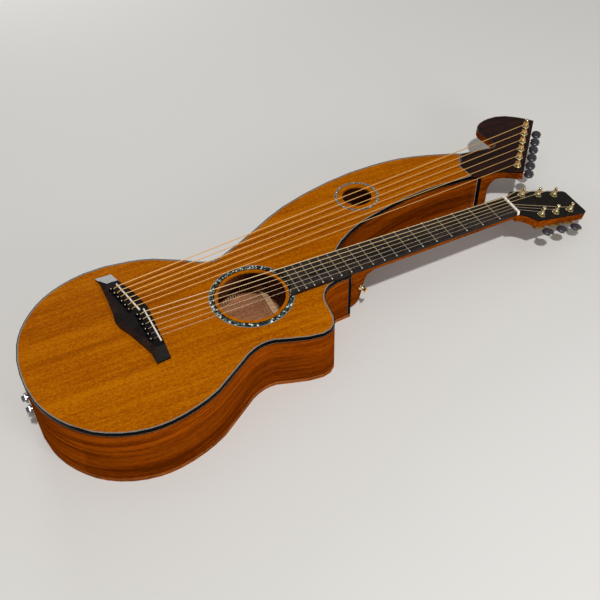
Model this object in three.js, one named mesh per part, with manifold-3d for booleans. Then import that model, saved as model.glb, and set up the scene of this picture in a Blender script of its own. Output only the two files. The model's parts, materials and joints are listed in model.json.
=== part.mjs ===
// Harp guitar: a six-string guitar with a cutaway, whose bass side runs on into a hollow arm
// that carries six more strings to a head of its own. It lies on its flat back, soundboard up.
// Millimetres. X runs along the neck towards the heads, +Y is the bass side, +Z is up.

import * as THREE from 'three';
import { mergeVertices } from 'three/addons/utils/BufferGeometryUtils.js';
import Module from 'manifold-3d';

const wasm = await Module();
wasm.setup();

// Driving dimensions

const scaleLength = 632.5;
const fretCount = 18;
const jointFret = 12;
const notesPerOctave = 12;
const glueLine = 0.3;
const overrun = 1;
const chordShare = 0.0024;

const body = {
  span: 521.5, lowerBout: 338, boutLean: 5, tailDepth: 122, heelDepth: 97,
  topThickness: 3, backThickness: 3, ribThickness: 2.8,
  bindingWidth: 2.2, bindingHeight: 6.5,
  liningReach: 9, liningHeight: 13,
};

const arm = { reach: 325, spread: 208.5 };

const soundhole = { fromNut: 476, radius: 53, ringInner: 58.2, ringOuter: 67.3, sides: 36 };
const armHole = {
  alongShare: 0.301, acrossShare: 0.683, radius: 25.7, ringInner: 34.6, ringOuter: 38.6, sides: 24,
};
const inlayDepth = 1.5;

const neck = {
  nutWidth: 46, jointWidth: 56, nutDepth: 15, jointDepth: 18, sideWall: 2,
  heelDepth: 90, heelReach: 36, sectionSides: 10, runIn: 8,
  blockLength: 58, blockWidth: 74,
};

const fretboard = {
  thickness: 6.1, endGap: 8.5, endSides: 8, fretWidth: 2.8, fretCrown: 1.3, fretHeight: 1,
};

const nut = { thickness: 4.4, height: 8.6, crown: 1.2, stringSpread: 37, slotDepth: 1 };

const head = {
  reach: 149.5, shoulderWidth: 86, tilt: 16, faceRise: 1, woodThickness: 12.2, veneerThickness: 2.5,
  lap: 3, shoulderIndex: 4, postInset: 12.5, firstPost: 44, postPitch: 35.5,
};

const armHead = {
  reach: 180, rowAngle: 48.3, postPitch: 25.2, edgeInset: 12.5, nearMargin: 17, farMargin: 23,
  woodThickness: 12.2, veneerThickness: 2.5, throatReach: 15, throatRadius: 24,
  blockLength: 62, blockLap: 14,
};

const bridge = {
  span: 208, depth: 56, height: 9, tipHeight: 3, shoulder: 5, bellySlope: 9,
  lead: 1.5, trebleWing: 25, harpWing: 24.5,
  pinSetback: 12.5, pinRadius: 3.8, pinCrown: 2.6, pinHeight: 2.6, pinSides: 6,
  slotDepth: 5,
};

const guitarSaddle = {
  setback: 5.4, skew: -2.95, thickness: 2.4, spanShare: 0.346, middleShare: 0.332, spreadShare: 0.269,
  proud: 2.4, crown: 0.9,
};
const harpSaddle = {
  setback: 21.3, skew: -13.1, thickness: 2.4, spanShare: 0.335, middleShare: 0.674, spreadShare: 0.264,
  proud: 3, crown: 1,
};

const tuner = {
  postRadius: 3, waistRadius: 2.6, postRise: 16, waistLow: 4.4, waistHigh: 11.5, tipRadius: 2.2,
  tipLength: 1, stringLevel: 9.4, postSides: 8,
  bushBore: 3.65, bushRadius: 4.8, holeRadius: 5.2, nutRadius: 6, nutHeight: 3.2, boreSides: 8,
  nutSides: 6,
  plateThickness: 1.2, plateWidth: 12, plateOverhang: 9,
  housingBack: 7.5, housingFront: 12.5, housingRear: 7.5, housingNose: 7.4, housingHeight: 8, wall: 1.1,
  wheelRadius: 5.8, wheelHeight: 4.4, wormOffset: 8.5, wormRadius: 2.2, wormHalf: 5, shaftRadius: 1.5,
  shaftBore: 2.1, pinGap: 0.4, collarStart: 10.5, collarEnd: 13.1, collarRadius: 2.6, shaftSides: 6,
  buttonStart: 13.7, buttonLength: 17.5, buttonRadius: 12, buttonFlatness: 0.45, buttonSides: 10,
  screwRadius: 2.1, screwProud: 1.2,
};

const string = { sides: 5, turns: 2, stepsPerTurn: 9, seat: 0.3, postGap: 0.42, coilGap: 0.6, pinGap: 0.6 };
const gapShares = [0, 0.25, 0.5, 0.75, 1];
const guitarGauges = [1.35, 1.06, 0.8, 0.6, 0.5, 0.42];
const harpGauges = [1.6, 1.45, 1.35, 1.25, 1.15, 1.06];
const woundCount = 4;

const jack = {
  side: 21, upperDepth: 29, lowerDepth: 56, barrelRadius: 4.6, proud: 8, inside: 30, bodyRadius: 7,
  nutRadius: 7.6, nutThickness: 2.6, washerRadius: 8.4, washerThickness: 0.8, mouthRadius: 3.3,
  sides: 10, nutSides: 6,
};
const tailBlock = { width: 80, depth: 24 };
const strapButton = {
  depth: 45, turn: 38, footRadius: 5.5, waistRadius: 3, headRadius: 7, height: 13, headHeight: 3.4,
  sides: 12,
};

const brace = {
  width: 8, height: 13, scallop: 34, bite: 0.5, crossReach: 360, crossShift: 40, crossAngle: 42,
  toneReach: 130, toneAngle: 62, upperLead: 23,
};
const backBrace = { width: 10, height: 12, scallop: 22, bite: 0.5 };
const plateUnderBridge = { span: 196, width: 58, thickness: 2.5 };

// Outline points are shares of the sizes that they follow: the first of each pair runs along the
// instrument and the second across it.

const boutShares = [
  [1, 0], [0.997, 0.166], [0.985, 0.343], [0.961, 0.521], [0.922, 0.69], [0.872, 0.832], [0.805, 0.94],
  [0.733, 0.996], [0.67, 1], [0.593, 0.959], [0.522, 0.882], [0.449, 0.743], [0.401, 0.642], [0.357, 0.591],
];
const cutawayShares = [
  [0.318, 0.592], [0.276, 0.639], [0.223, 0.692], [0.181, 0.712], [0.155, 0.696], [0.136, 0.648],
  [0.124, 0.565], [0.121, 0.456], [0.118, 0.352], [0.104, 0.26], [0.079, 0.194], [0.047, 0.165], [0, 0.16],
];
const waistShare = 0.449;
const shoulderShares = [[0.324, 0.5], [0.257, 0.576], [0.176, 0.683], [0.122, 0.759], [0.056, 0.834]];
const armOuterShares = [
  [0.05, 0.904], [0.21, 0.961], [0.358, 0.993], [0.495, 0.999], [0.665, 0.979], [0.819, 0.915],
  [0.949, 0.839], [1, 0.8],
];
const armNotchShares = [0.939, 0.657];
const armInnerShares = [
  [0.95, 0.486], [0.85, 0.489], [0.76, 0.501], [0.651, 0.498], [0.542, 0.483], [0.447, 0.458],
  [0.361, 0.425], [0.238, 0.379], [0.142, 0.312], [0.064, 0.237], [0.023, 0.181], [0, 0.144],
];
const hornShares = [
  [0, 0.8], [0.151, 0.777], [0.318, 0.755], [0.385, 0.767], [0.39, 0.892], [0.371, 0.993], [0.39, 1.065],
  [0.468, 1.118], [0.579, 1.142], [0.679, 1.14], [0.779, 1.108], [0.863, 1.055], [0.94, 0.993],
];
const throatShares = [[0.233, 0.416], [0.163, 0.444], [0.007, 0.46], [-0.09, 0.486]];
const rowCentreShares = [0.629, 0.662];
const headShares = [
  [0.018, 0.535], [0.07, 0.6], [0.12, 0.733], [0.16, 0.88], [0.18, 1], [0.97, 0.767], [1, 0.68],
];
const heelShares = [
  [0.05, 0.98, 2.6], [0.16, 0.97, 1.75], [0.22, 0.96, 1.35], [0.32, 0.93, 1.12], [0.5, 0.84, 1],
  [0.75, 0.68, 0.93], [0.93, 0.56, 0.84], [1, 0.5, 0.72],
];
const crossShare = 0.497;
const toneShare = 0.805;
const armBraceShares = [0.511, 0.696];
const backBraceShares = [0.211, 0.411, 0.622, 0.814];
const armBackBraceShare = 0.45;
const bridgeFrontShares = [[0, 0.012], [0, 0.524], [0.179, 0.712], [0.429, 0.875], [0.536, 0.995]];
const bridgeRearShares = [
  [1, 1], [0.929, 0.942], [0.911, 0.76], [0.921, 0.581], [0.959, 0.509], [0.9, 0.436], [0.761, 0.364],
  [0.625, 0.267], [0.491, 0.171], [0.416, 0.1], [0.389, 0],
];
const buttonShares = [[0, 0.36], [0.14, 0.8], [0.44, 1], [0.8, 0.86], [1, 0.34]];

// Levels and places worked out from the sizes. The soundboard's top is the plane z = 0 and the
// nut's front edge is x = 0, until the whole instrument is laid down on its back at the end.

const fretX = (fret) => -scaleLength * (1 - 2 ** (-fret / notesPerOctave));
const jointX = fretX(jointFret);
const tailX = jointX - body.span;
const bodyX = (share) => jointX - share * body.span;
const armX = (share) => jointX + share * arm.reach;
const soundholeAt = { x: -soundhole.fromNut, y: 0 };
const armHoleAt = { x: armX(armHole.alongShare), y: armHole.acrossShare * arm.spread };
const bridgeFront = bridge.lead - scaleLength;
const bridgeEnd = -guitarSaddle.middleShare * bridge.span;
const backSlope = (body.tailDepth - body.heelDepth) / body.span;
const backPlane = (x) => backSlope * (x - tailX) - body.tailDepth;
const above = (lift) => (x) => backPlane(x) + lift;
const fretboardWidth = (x) => neck.nutWidth + ((neck.jointWidth - neck.nutWidth) * x) / jointX;
const fretboardTop = glueLine + fretboard.thickness;
const headThickness = head.veneerThickness + glueLine + head.woodThickness;
const armHeadThickness = armHead.veneerThickness + glueLine + armHead.woodThickness;

// Materials

const paint = (name, color, roughness, metalness = 0) =>
  new THREE.MeshStandardMaterial({ name, color, roughness, metalness });

const topWood = paint('amber mahogany', 0xb56a1c, 0.3);
const ribWood = paint('red mahogany', 0x8a3f18, 0.3);
const ebony = paint('ebony', 0x1b1614, 0.4);
const bindingBlack = paint('black binding', 0x0d0d0f, 0.25);
const shell = paint('abalone', 0x7f9a98, 0.25);
const bone = paint('bone', 0xe9e2cf, 0.45);
const gold = paint('gold plate', 0xd8b46a, 0.25, 1);
const blackPlastic = paint('black button', 0x2a2a2c, 0.3);
const bronze = paint('bronze string', 0xb98b5e, 0.35, 1);
const steel = paint('plain steel', 0xc9cbd0, 0.25, 1);
const nickel = paint('nickel', 0xc4c4c8, 0.25, 1);
const spruce = paint('bare wood', 0xb98a5c, 0.7);

// Geometry helpers

const vec2 = (x, y) => new THREE.Vector2(x, y);
const vec3 = (x, y, z) => new THREE.Vector3(x, y, z);
const radians = THREE.MathUtils.degToRad;

function solid(geometry) {
  const bare = geometry.clone();
  bare.deleteAttribute('normal');
  bare.deleteAttribute('uv');
  const merged = mergeVertices(bare);
  const made = new wasm.Manifold(new wasm.Mesh({
    numProp: 3,
    vertProperties: new Float32Array(merged.getAttribute('position').array),
    triVerts: new Uint32Array(merged.getIndex().array),
  }));
  return made;
}

function geometryOf(manifold) {
  const { numProp, vertProperties, triVerts } = manifold.getMesh();
  const place = new Float32Array((vertProperties.length / numProp) * 3);
  for (let i = 0; i < place.length; i += 1) {
    place[i] = vertProperties[Math.floor(i / 3) * numProp + (i % 3)];
  }
  const geometry = new THREE.BufferGeometry();
  geometry.setAttribute('position', new THREE.BufferAttribute(place, 3));
  geometry.setIndex(new THREE.BufferAttribute(new Uint32Array(triVerts), 1));
  return geometry;
}

const join = (first, ...rest) => rest.reduce((sum, next) => sum.add(next), first);
const cut = (first, ...rest) => rest.reduce((sum, next) => sum.subtract(next), first);

function piece(name, shape, material, matrix = null) {
  const geometry = shape.isBufferGeometry ? shape : geometryOf(shape);
  const mesh = new THREE.Mesh(geometry, material);
  mesh.name = name;
  if (matrix) {
    mesh.applyMatrix4(matrix);
  }
  return mesh;
}

// A flat outline raised between two levels; a level is a number or a function of x.
const levelAt = (level, x) => (typeof level === 'function' ? level(x) : level);

function slab(outline, low, high, hole = null) {
  const geometry = new THREE.ExtrudeGeometry(new THREE.Shape(outline), { depth: 1, bevelEnabled: false });
  const place = geometry.getAttribute('position');
  for (let i = 0; i < place.count; i += 1) {
    const x = place.getX(i);
    place.setZ(i, place.getZ(i) > 0.5 ? levelAt(high, x) : levelAt(low, x));
  }
  const whole = solid(geometry);
  const under = (x) => levelAt(low, x) - overrun;
  const over = (x) => levelAt(high, x) + overrun;
  return hole ? cut(whole, slab(hole, under, over)) : whole;
}

const rectangle = (x0, x1, y0, y1) => [vec2(x0, y0), vec2(x1, y0), vec2(x1, y1), vec2(x0, y1)];
const box = (x0, x1, y0, y1, z0, z1) => slab(rectangle(x0, x1, y0, y1), z0, z1);

function circle(x, y, radius, sides) {
  const points = [];
  for (let i = 0; i < sides; i += 1) {
    const turn = (2 * Math.PI * i) / sides;
    points.push(vec2(x + radius * Math.cos(turn), y + radius * Math.sin(turn)));
  }
  return points;
}

const round = (radius, sides, low, high, x = 0, y = 0) => slab(circle(x, y, radius, sides), low, high);

// A closed solid through rings of equal length; flatten drops one axis so that the ends can be capped.
function loft(rings, flatten) {
  const count = rings[0].length;
  const place = rings.flat().flatMap((point) => [point.x, point.y, point.z]);
  const index = [];
  for (let r = 0; r + 1 < rings.length; r += 1) {
    for (let i = 0; i < count; i += 1) {
      const a = r * count + i;
      const b = r * count + ((i + 1) % count);
      index.push(a, b, b + count, a, b + count, a + count);
    }
  }
  const flat = rings[0].map(flatten);
  const last = (rings.length - 1) * count;
  const withRing = THREE.ShapeUtils.area(flat) > 0;
  for (const face of THREE.ShapeUtils.triangulateShape(flat, [])) {
    const [a, b, c] = withRing ? face : [...face].reverse();
    index.push(a, c, b, last + a, last + b, last + c);
  }
  const geometry = new THREE.BufferGeometry();
  geometry.setAttribute('position', new THREE.Float32BufferAttribute(place, 3));
  geometry.setIndex(index);
  return solid(volume(geometry) < 0 ? turnedOut(geometry) : geometry);
}

function volume(geometry) {
  const place = geometry.getAttribute('position');
  const index = geometry.getIndex().array;
  const corner = [vec3(0, 0, 0), vec3(0, 0, 0), vec3(0, 0, 0)];
  let sum = 0;
  for (let i = 0; i < index.length; i += 3) {
    corner.forEach((point, k) => point.fromBufferAttribute(place, index[i + k]));
    sum += corner[0].dot(corner[1].clone().cross(corner[2])) / 6;
  }
  return sum;
}

function turnedOut(geometry) {
  const index = Array.from(geometry.getIndex().array);
  for (let i = 0; i < index.length; i += 3) {
    [index[i + 1], index[i + 2]] = [index[i + 2], index[i + 1]];
  }
  geometry.setIndex(index);
  return geometry;
}

const flattenX = (point) => vec2(point.y, point.z);
const flattenY = (point) => vec2(point.x, point.z);
const flattenZ = (point) => vec2(point.x, point.y);

// A profile of [radius, height] pairs turned about Z. It starts and ends on the axis.
function turned(profile, sides) {
  return solid(new THREE.LatheGeometry(profile.map(([r, h]) => vec2(r, h)), sides).rotateX(Math.PI / 2));
}

// A side view in X and Z carried across Y.
function sideView(points, y0, y1) {
  const ring = (y) => points.map(([x, z]) => vec3(x, y, z));
  return loft([ring(y0), ring(y1)], flattenY);
}

// Points along a smooth curve, no farther apart than the chord error allows.
const chordError = chordShare * body.lowerBout;

function fair(points) {
  const curve = new THREE.CatmullRomCurve3(points.map(([x, y]) => vec3(x, y, 0)), false, 'centripetal');
  const found = [];
  const divide = (t0, t1, p0, p1) => {
    const middle = curve.getPoint((t0 + t1) / 2);
    const chord = p1.clone().sub(p0);
    if (middle.clone().sub(p0).cross(chord).length() > chordError * chord.length()) {
      divide(t0, (t0 + t1) / 2, p0, middle);
      divide((t0 + t1) / 2, t1, middle, p1);
    } else {
      found.push(vec2(p1.x, p1.y));
    }
  };
  const spans = points.length - 1;
  found.push(vec2(points[0][0], points[0][1]));
  for (let i = 0; i < spans; i += 1) {
    divide(i / spans, (i + 1) / spans, curve.getPoint(i / spans), curve.getPoint((i + 1) / spans));
  }
  return found;
}

// The same closed outline moved inwards; the outline runs clockwise.
function inset(points, distance) {
  const count = points.length;
  return points.map((point, i) => {
    const before = point.clone().sub(points[(i + count - 1) % count]).normalize();
    const after = points[(i + 1) % count].clone().sub(point).normalize();
    const normal = vec2(before.y + after.y, -before.x - after.x).normalize();
    return point.clone().addScaledVector(normal, distance / (normal.x * after.y - normal.y * after.x));
  });
}

// A tube through points, with flat ends.
function tube(points, radius) {
  let side = vec3(0, 1, 0);
  const rings = points.map((point, i) => {
    const before = points[Math.max(i - 1, 0)];
    const after = points[Math.min(i + 1, points.length - 1)];
    const along = after.clone().sub(before).normalize();
    side = side.clone().addScaledVector(along, -side.dot(along)).normalize();
    const other = along.clone().cross(side);
    return circle(0, 0, radius, string.sides)
      .map((place) => point.clone().addScaledVector(side, place.x).addScaledVector(other, place.y));
  });
  return loft(rings, flattenX);
}

// The body's outline, clockwise from the treble corner of the neck joint round to its bass corner

const halfBout = body.lowerBout / 2;

// The lower bout leans to the treble side between the waist and the tail.
const leanAt = (along) =>
  body.boutLean * Math.sin(Math.PI * Math.max((along - waistShare) / (1 - waistShare), 0));
const boutPoint = (sign) => ([along, across]) =>
  [bodyX(along), sign * across * halfBout - leanAt(along)];
const shoulderPoint = ([along, across]) => [bodyX(along), across * arm.spread];
const armPoint = ([along, across]) => [jointX + along * arm.reach, across * arm.spread];
const armEndX = jointX + arm.reach;

const trebleEdge = fair([
  ...[...cutawayShares].reverse().map(boutPoint(-1)), ...[...boutShares].reverse().map(boutPoint(-1)),
  ...boutShares.slice(1).map(boutPoint(1)), ...shoulderShares.map(shoulderPoint),
  ...armOuterShares.map(armPoint),
]);
const innerEdge = fair(armInnerShares.map(armPoint));
const outline = [...trebleEdge, vec2(...armPoint(armNotchShares)), ...innerEdge];

const tailIndex = outline.reduce((best, point, i) => (point.x < outline[best].x ? i : best), 0);
const armEndIndex = trebleEdge.length - 1;
const armStartIndex = armEndIndex + 2;

// Body shells

const insets = new Map();
function insetBy(distance) {
  if (!insets.has(distance)) {
    insets.set(distance, distance ? inset(outline, distance) : outline);
  }
  return insets.get(distance);
}

function ribbon(from, to, near, far, low, high) {
  const outer = insetBy(near).slice(from, to + 1);
  const inner = insetBy(far).slice(from, to + 1).reverse();
  return slab([...outer, ...inner], low, high);
}

const liningStart = body.bindingWidth + glueLine;
const topInside = -(body.topThickness + glueLine);
const backInside = body.backThickness + glueLine;
const ribTop = -(body.bindingHeight + glueLine);
const ribFoot = body.bindingHeight + glueLine;

const neckBlockX = jointX - neck.blockLength;
const armBlockX = armEndX - armHead.blockLength;
const tailBlockX = tailX + tailBlock.depth;
const blockRooms = [
  box(neckBlockX - glueLine, jointX + overrun + 2 * glueLine, -neck.blockWidth,
    neck.blockWidth / 2 + glueLine, -body.tailDepth, overrun),
  box(armBlockX - glueLine, armEndX + overrun, 0, arm.spread, -body.tailDepth, overrun),
  box(tailX - overrun, tailBlockX + glueLine, -tailBlock.width / 2 - glueLine,
    tailBlock.width / 2 + glueLine, -body.tailDepth, overrun),
];

function rib(from, to) {
  const wall = ribbon(from, to, 0, body.ribThickness, above(ribFoot), ribTop);
  const lining = (low, high) => ribbon(from, to, liningStart, body.liningReach, low, high);
  const topLining = lining(topInside - body.liningHeight, topInside);
  const backLining = lining(above(backInside), above(backInside + body.liningHeight));
  return join(wall, cut(join(topLining, backLining), ...blockRooms));
}

const tailSeam = box(tailX - overrun, tailX + body.liningReach + overrun, -glueLine / 2, glueLine / 2,
  -body.tailDepth, overrun);
const jackBore = (depth) => {
  const bore = round(jack.barrelRadius + glueLine, jack.sides, -overrun, tailBlock.depth + 2 * overrun);
  return bore.rotate([0, 90, 0]).translate([tailX, -jack.side, -depth]);
};
const jackBores = [jackBore(jack.upperDepth), jackBore(jack.lowerDepth)];

function makeRibs() {
  const treble = cut(rib(0, tailIndex), tailSeam, ...jackBores);
  const bass = cut(rib(tailIndex, armEndIndex), tailSeam);
  const inner = rib(armStartIndex, outline.length - 1);
  return [
    piece('side_treble', treble, ribWood),
    piece('side_bass', bass, ribWood),
    piece('side_arm_inner', inner, ribWood),
  ];
}

// How far the room between the linings reaches across the body, for a brace of this width at x
function roomAcross(x, width) {
  const points = insetBy(body.liningReach + glueLine);
  const crossings = (at) => points.flatMap((point, i) => {
    const next = points[(i + 1) % points.length];
    const share = (at - point.x) / (next.x - point.x);
    return share > 0 && share <= 1 ? [point.y + share * (next.y - point.y)] : [];
  });
  const edges = [crossings(x - width / 2), crossings(x + width / 2)];
  return [Math.max(...edges.map((ys) => Math.min(...ys))), Math.min(...edges.map((ys) => Math.max(...ys)))];
}

// A brace along X that stands below z = 0, with its ends scalloped down to a third
function bar(length, size) {
  const half = length / 2;
  const flat = half - Math.min(size.scallop, length / 3);
  const profile = [
    [-half, size.bite], [-half, -size.height / 3], [-flat, -size.height],
    [flat, -size.height], [half, -size.height / 3], [half, size.bite],
  ];
  return sideView(profile, -size.width / 2, size.width / 2);
}

function crossBar(x, size) {
  const [y0, y1] = roomAcross(x, size.width);
  return bar(y1 - y0, size).rotate([0, 0, 90]).translate([0, (y0 + y1) / 2, 0]);
}

function channel(place, at) {
  return slab(circle(at.x, at.y, place.ringOuter + glueLine, place.sides), -inlayDepth - glueLine, overrun,
    circle(at.x, at.y, place.ringInner - glueLine, place.sides));
}

function makeSoundboard() {
  const plate = slab(insetBy(body.bindingWidth + glueLine), -body.topThickness, 0);
  const underside = -body.topThickness;
  const cross = (sign) => bar(brace.crossReach, brace).translate([-brace.crossShift, 0, underside])
    .rotate([0, 0, sign * brace.crossAngle]).translate([bodyX(crossShare), 0, 0]);
  const tone = bar(brace.toneReach, brace).rotate([0, 0, brace.toneAngle])
    .translate([bodyX(toneShare), 0, underside]);
  const room = slab(insetBy(body.liningReach + glueLine), -body.tailDepth, 0);
  const straight = [soundholeAt.x + soundhole.radius + brace.upperLead, ...armBraceShares.map(armX)]
    .map((x) => crossBar(x, brace).translate([x, 0, underside]));
  const bridgeMiddle = bridgeEnd + bridge.span / 2;
  const bridgePlate = box(bridgeFront - plateUnderBridge.width, bridgeFront,
    bridgeMiddle - plateUnderBridge.span / 2, bridgeMiddle + plateUnderBridge.span / 2,
    underside - plateUnderBridge.thickness, underside + brace.bite);
  const whole = join(plate, join(cross(1), cross(-1), tone).intersect(room), bridgePlate, ...straight);
  const cuts = [[soundhole, soundholeAt], [armHole, armHoleAt]].flatMap(([place, at]) => [
    round(place.radius, place.sides, -body.tailDepth, overrun, at.x, at.y), channel(place, at),
  ]);
  return piece('soundboard', cut(whole, ...cuts), topWood);
}

function makeBack() {
  const plate = slab(outline, backPlane, above(body.backThickness));
  const rim = slab(outline, above(body.backThickness / 2), above(body.bindingHeight),
    insetBy(body.bindingWidth));
  const lean = THREE.MathUtils.radToDeg(Math.atan(backSlope));
  const bars = [...backBraceShares.map(bodyX), armX(armBackBraceShare)]
    .map((x) => crossBar(x, backBrace).rotate([0, 180 - lean, 0])
      .translate([x, 0, backPlane(x) + body.backThickness]));
  return piece('back', join(plate, rim, ...bars), ribWood);
}

function makeBinding() {
  const ring = slab(outline, -body.bindingHeight, 0, insetBy(body.bindingWidth));
  return piece('top_binding', ring, bindingBlack);
}

function makeRosette(name, place, at) {
  const ring = slab(circle(at.x, at.y, place.ringOuter, place.sides), -inlayDepth, 0,
    circle(at.x, at.y, place.ringInner, place.sides));
  return piece(name, ring, shell);
}

function makeTailBlock() {
  const inside = slab(insetBy(body.ribThickness + glueLine), above(ribFoot), ribTop);
  const room = box(tailX, tailBlockX, -tailBlock.width / 2, tailBlock.width / 2, -body.tailDepth, 0);
  const core = box(tailX + body.liningReach, tailBlockX, -tailBlock.width / 2, tailBlock.width / 2,
    above(backInside), topInside);
  return piece('tail_block', cut(join(inside.intersect(room), core), ...jackBores), spruce);
}

// The neck, with its heel, its head and the block that it ends in inside the body

const headCos = Math.cos(radians(head.tilt));
const headSin = Math.sin(radians(head.tilt));
const headOrigin = vec3(nut.thickness + 2 * glueLine, 0, head.faceRise);
const headMatrix = new THREE.Matrix4()
  .makeBasis(vec3(headCos, 0, -headSin), vec3(0, 1, 0), vec3(headSin, 0, headCos)).setPosition(headOrigin);
const onHead = (manifold) => solid(geometryOf(manifold).applyMatrix4(headMatrix));

function headOutline(start) {
  const half = head.shoulderWidth / 2;
  const side = headShares.map(([along, across]) => vec2(along * head.reach, across * half));
  const far = side.map((point) => vec2(point.x, -point.y)).reverse();
  return [vec2(start, neck.nutWidth / 2), ...side, ...far, vec2(start, -neck.nutWidth / 2)];
}

// The posts stand in a row along each edge, from the shoulders to the end.
const postsASide = guitarGauges.length / 2;

function headPosts() {
  const [along0, across0] = headShares[head.shoulderIndex];
  const [along1, across1] = headShares[head.shoulderIndex + 1];
  const places = [];
  for (const side of [1, -1]) {
    for (let i = 0; i < postsASide; i += 1) {
      const along = head.firstPost + i * head.postPitch;
      const share = THREE.MathUtils.mapLinear(along / head.reach, along0, along1, across0, across1);
      places.push({ along, across: side * ((head.shoulderWidth / 2) * share - head.postInset), side });
    }
  }
  return places;
}

const bushHole = (x, y, low, high) =>
  slab(circle(0, 0, tuner.holeRadius, tuner.boreSides), low, high).translate([x, y, 0]);

function neckSection(x, width, depth) {
  const ring = [vec3(x, width / 2, 0), vec3(x, -width / 2, 0)];
  for (let i = 0; i <= neck.sectionSides; i += 1) {
    const turn = (Math.PI * i) / neck.sectionSides;
    const level = -neck.sideWall - (depth - neck.sideWall) * Math.sin(turn);
    ring.push(vec3(x, (-width / 2) * Math.cos(turn), level));
  }
  return ring;
}

function heelPoint([depthShare, widthShare, reachShare], turn) {
  return vec3(jointX + glueLine + neck.heelReach * reachShare * Math.sin(turn),
    (neck.jointWidth / 2) * widthShare * Math.cos(turn), -neck.heelDepth * depthShare);
}

function heelSection(shares) {
  const ring = [];
  for (let i = 0; i <= neck.sectionSides; i += 1) {
    ring.push(heelPoint(shares, (Math.PI * i) / neck.sectionSides));
  }
  return ring;
}

function makeNeck() {
  const shaft = loft([
    neckSection(jointX + glueLine, fretboardWidth(jointX), neck.jointDepth),
    neckSection(0, neck.nutWidth, neck.nutDepth),
    neckSection(neck.runIn, neck.nutWidth, neck.nutDepth),
  ], flattenX);
  const heel = loft(heelShares.map(heelSection), flattenZ);
  const woodTop = -head.veneerThickness - glueLine;
  const woodHead = cut(slab(headOutline(-head.lap), woodTop - head.woodThickness, woodTop),
    ...headPosts().map(({ along, across }) => bushHole(along, across, -headThickness - overrun, overrun)));
  const inside = insetBy(body.ribThickness + glueLine);
  const throat = slab(inside, above(ribFoot), ribTop).intersect(
    box(neckBlockX, jointX + glueLine + overrun, -neck.blockWidth, neck.blockWidth / 2,
      -body.tailDepth, 0));
  const tongue = box(jointX - body.ribThickness - overrun, jointX + overrun + overrun, -neck.nutWidth / 4,
    neck.nutWidth / 4, -neck.heelDepth / 2, ribTop);
  const core = slab(insetBy(body.liningReach), above(backInside), topInside).intersect(
    box(neckBlockX, jointX, -neck.blockWidth, neck.blockWidth / 2, -body.tailDepth, 0));
  const veneerRoom = onHead(box(0, head.reach, -head.shoulderWidth, head.shoulderWidth, woodTop,
    head.veneerThickness + 2 * head.faceRise));
  return piece('neck', join(cut(shaft, veneerRoom), heel, onHead(woodHead), throat, tongue, core), ribWood);
}

function makeHeadVeneer() {
  const plate = slab(headOutline(glueLine), -head.veneerThickness, 0);
  const holes = headPosts()
    .map(({ along, across }) => bushHole(along, across, -head.veneerThickness - overrun, overrun));
  return piece('head_veneer', cut(plate, ...holes), ebony, headMatrix);
}

// Fretboard, frets and nut

function makeFretboard() {
  const endRadius = soundhole.radius + fretboard.endGap;
  const reach = (y) => -soundhole.fromNut + Math.sqrt(endRadius ** 2 - y ** 2);
  const cornerY = fretboardWidth(reach(neck.jointWidth / 2)) / 2;
  const end = [];
  for (let i = 0; i <= fretboard.endSides; i += 1) {
    const y = THREE.MathUtils.lerp(cornerY, -cornerY, i / fretboard.endSides);
    end.push(vec2(reach(y), y));
  }
  const nutEnd = [vec2(0, -neck.nutWidth / 2), vec2(0, neck.nutWidth / 2)];
  const board = slab([...nutEnd, ...end], glueLine, fretboardTop);
  const frets = [];
  for (let i = 1; i <= fretCount; i += 1) {
    const x = fretX(i);
    const half = fretboardWidth(x) / 2;
    const profile = [
      [x - fretboard.fretWidth / 2, fretboardTop - fretboard.fretHeight],
      [x + fretboard.fretWidth / 2, fretboardTop - fretboard.fretHeight],
      [x + fretboard.fretCrown / 2, fretboardTop + fretboard.fretHeight],
      [x - fretboard.fretCrown / 2, fretboardTop + fretboard.fretHeight],
    ];
    frets.push(sideView(profile, -half, half));
  }
  return piece('fretboard', join(board, ...frets), ebony);
}

const guitarPitchAtNut = nut.stringSpread / (guitarGauges.length - 1);
const nutStringY = (i) => nut.stringSpread / 2 - i * guitarPitchAtNut;

function makeNut() {
  const top = glueLine + nut.height;
  const profile = [
    [glueLine, glueLine], [glueLine + nut.thickness, glueLine], [glueLine + nut.thickness, top - nut.crown],
    [glueLine + nut.thickness / 2, top], [glueLine, top],
  ];
  const blank = sideView(profile, -neck.nutWidth / 2, neck.nutWidth / 2);
  const slots = guitarGauges.map((gauge, i) => box(0, nut.thickness + overrun,
    nutStringY(i) - gauge / 2 - glueLine, nutStringY(i) + gauge / 2 + glueLine,
    top - nut.slotDepth, top + overrun));
  return piece('nut', cut(blank, ...slots), bone);
}

// Bridge and saddles

const saddleX = (saddle) => bridgeFront - saddle.setback;
const saddleY = (saddle) => bridgeEnd + saddle.middleShare * bridge.span;
const saddleMatrix = (saddle) => new THREE.Matrix4().makeRotationZ(radians(-saddle.skew))
  .setPosition(saddleX(saddle), saddleY(saddle), 0);

function saddleBlock(saddle, grow, low, high) {
  const half = saddle.thickness / 2 + grow;
  const reach = (saddle.spanShare * bridge.span) / 2 + grow;
  return solid(geometryOf(box(-half, half, -reach, reach, low, high))
    .applyMatrix4(saddleMatrix(saddle)));
}

function saddlePoint(saddle, i, setback = 0) {
  const spread = saddle.spreadShare * bridge.span;
  const y = spread / 2 - (i * spread) / (guitarGauges.length - 1);
  const turn = radians(-saddle.skew);
  return vec2(saddleX(saddle) - y * Math.sin(turn) - setback, saddleY(saddle) + y * Math.cos(turn));
}

const bridgeFoot = glueLine;
const bridgeTop = bridgeFoot + bridge.height;

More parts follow.
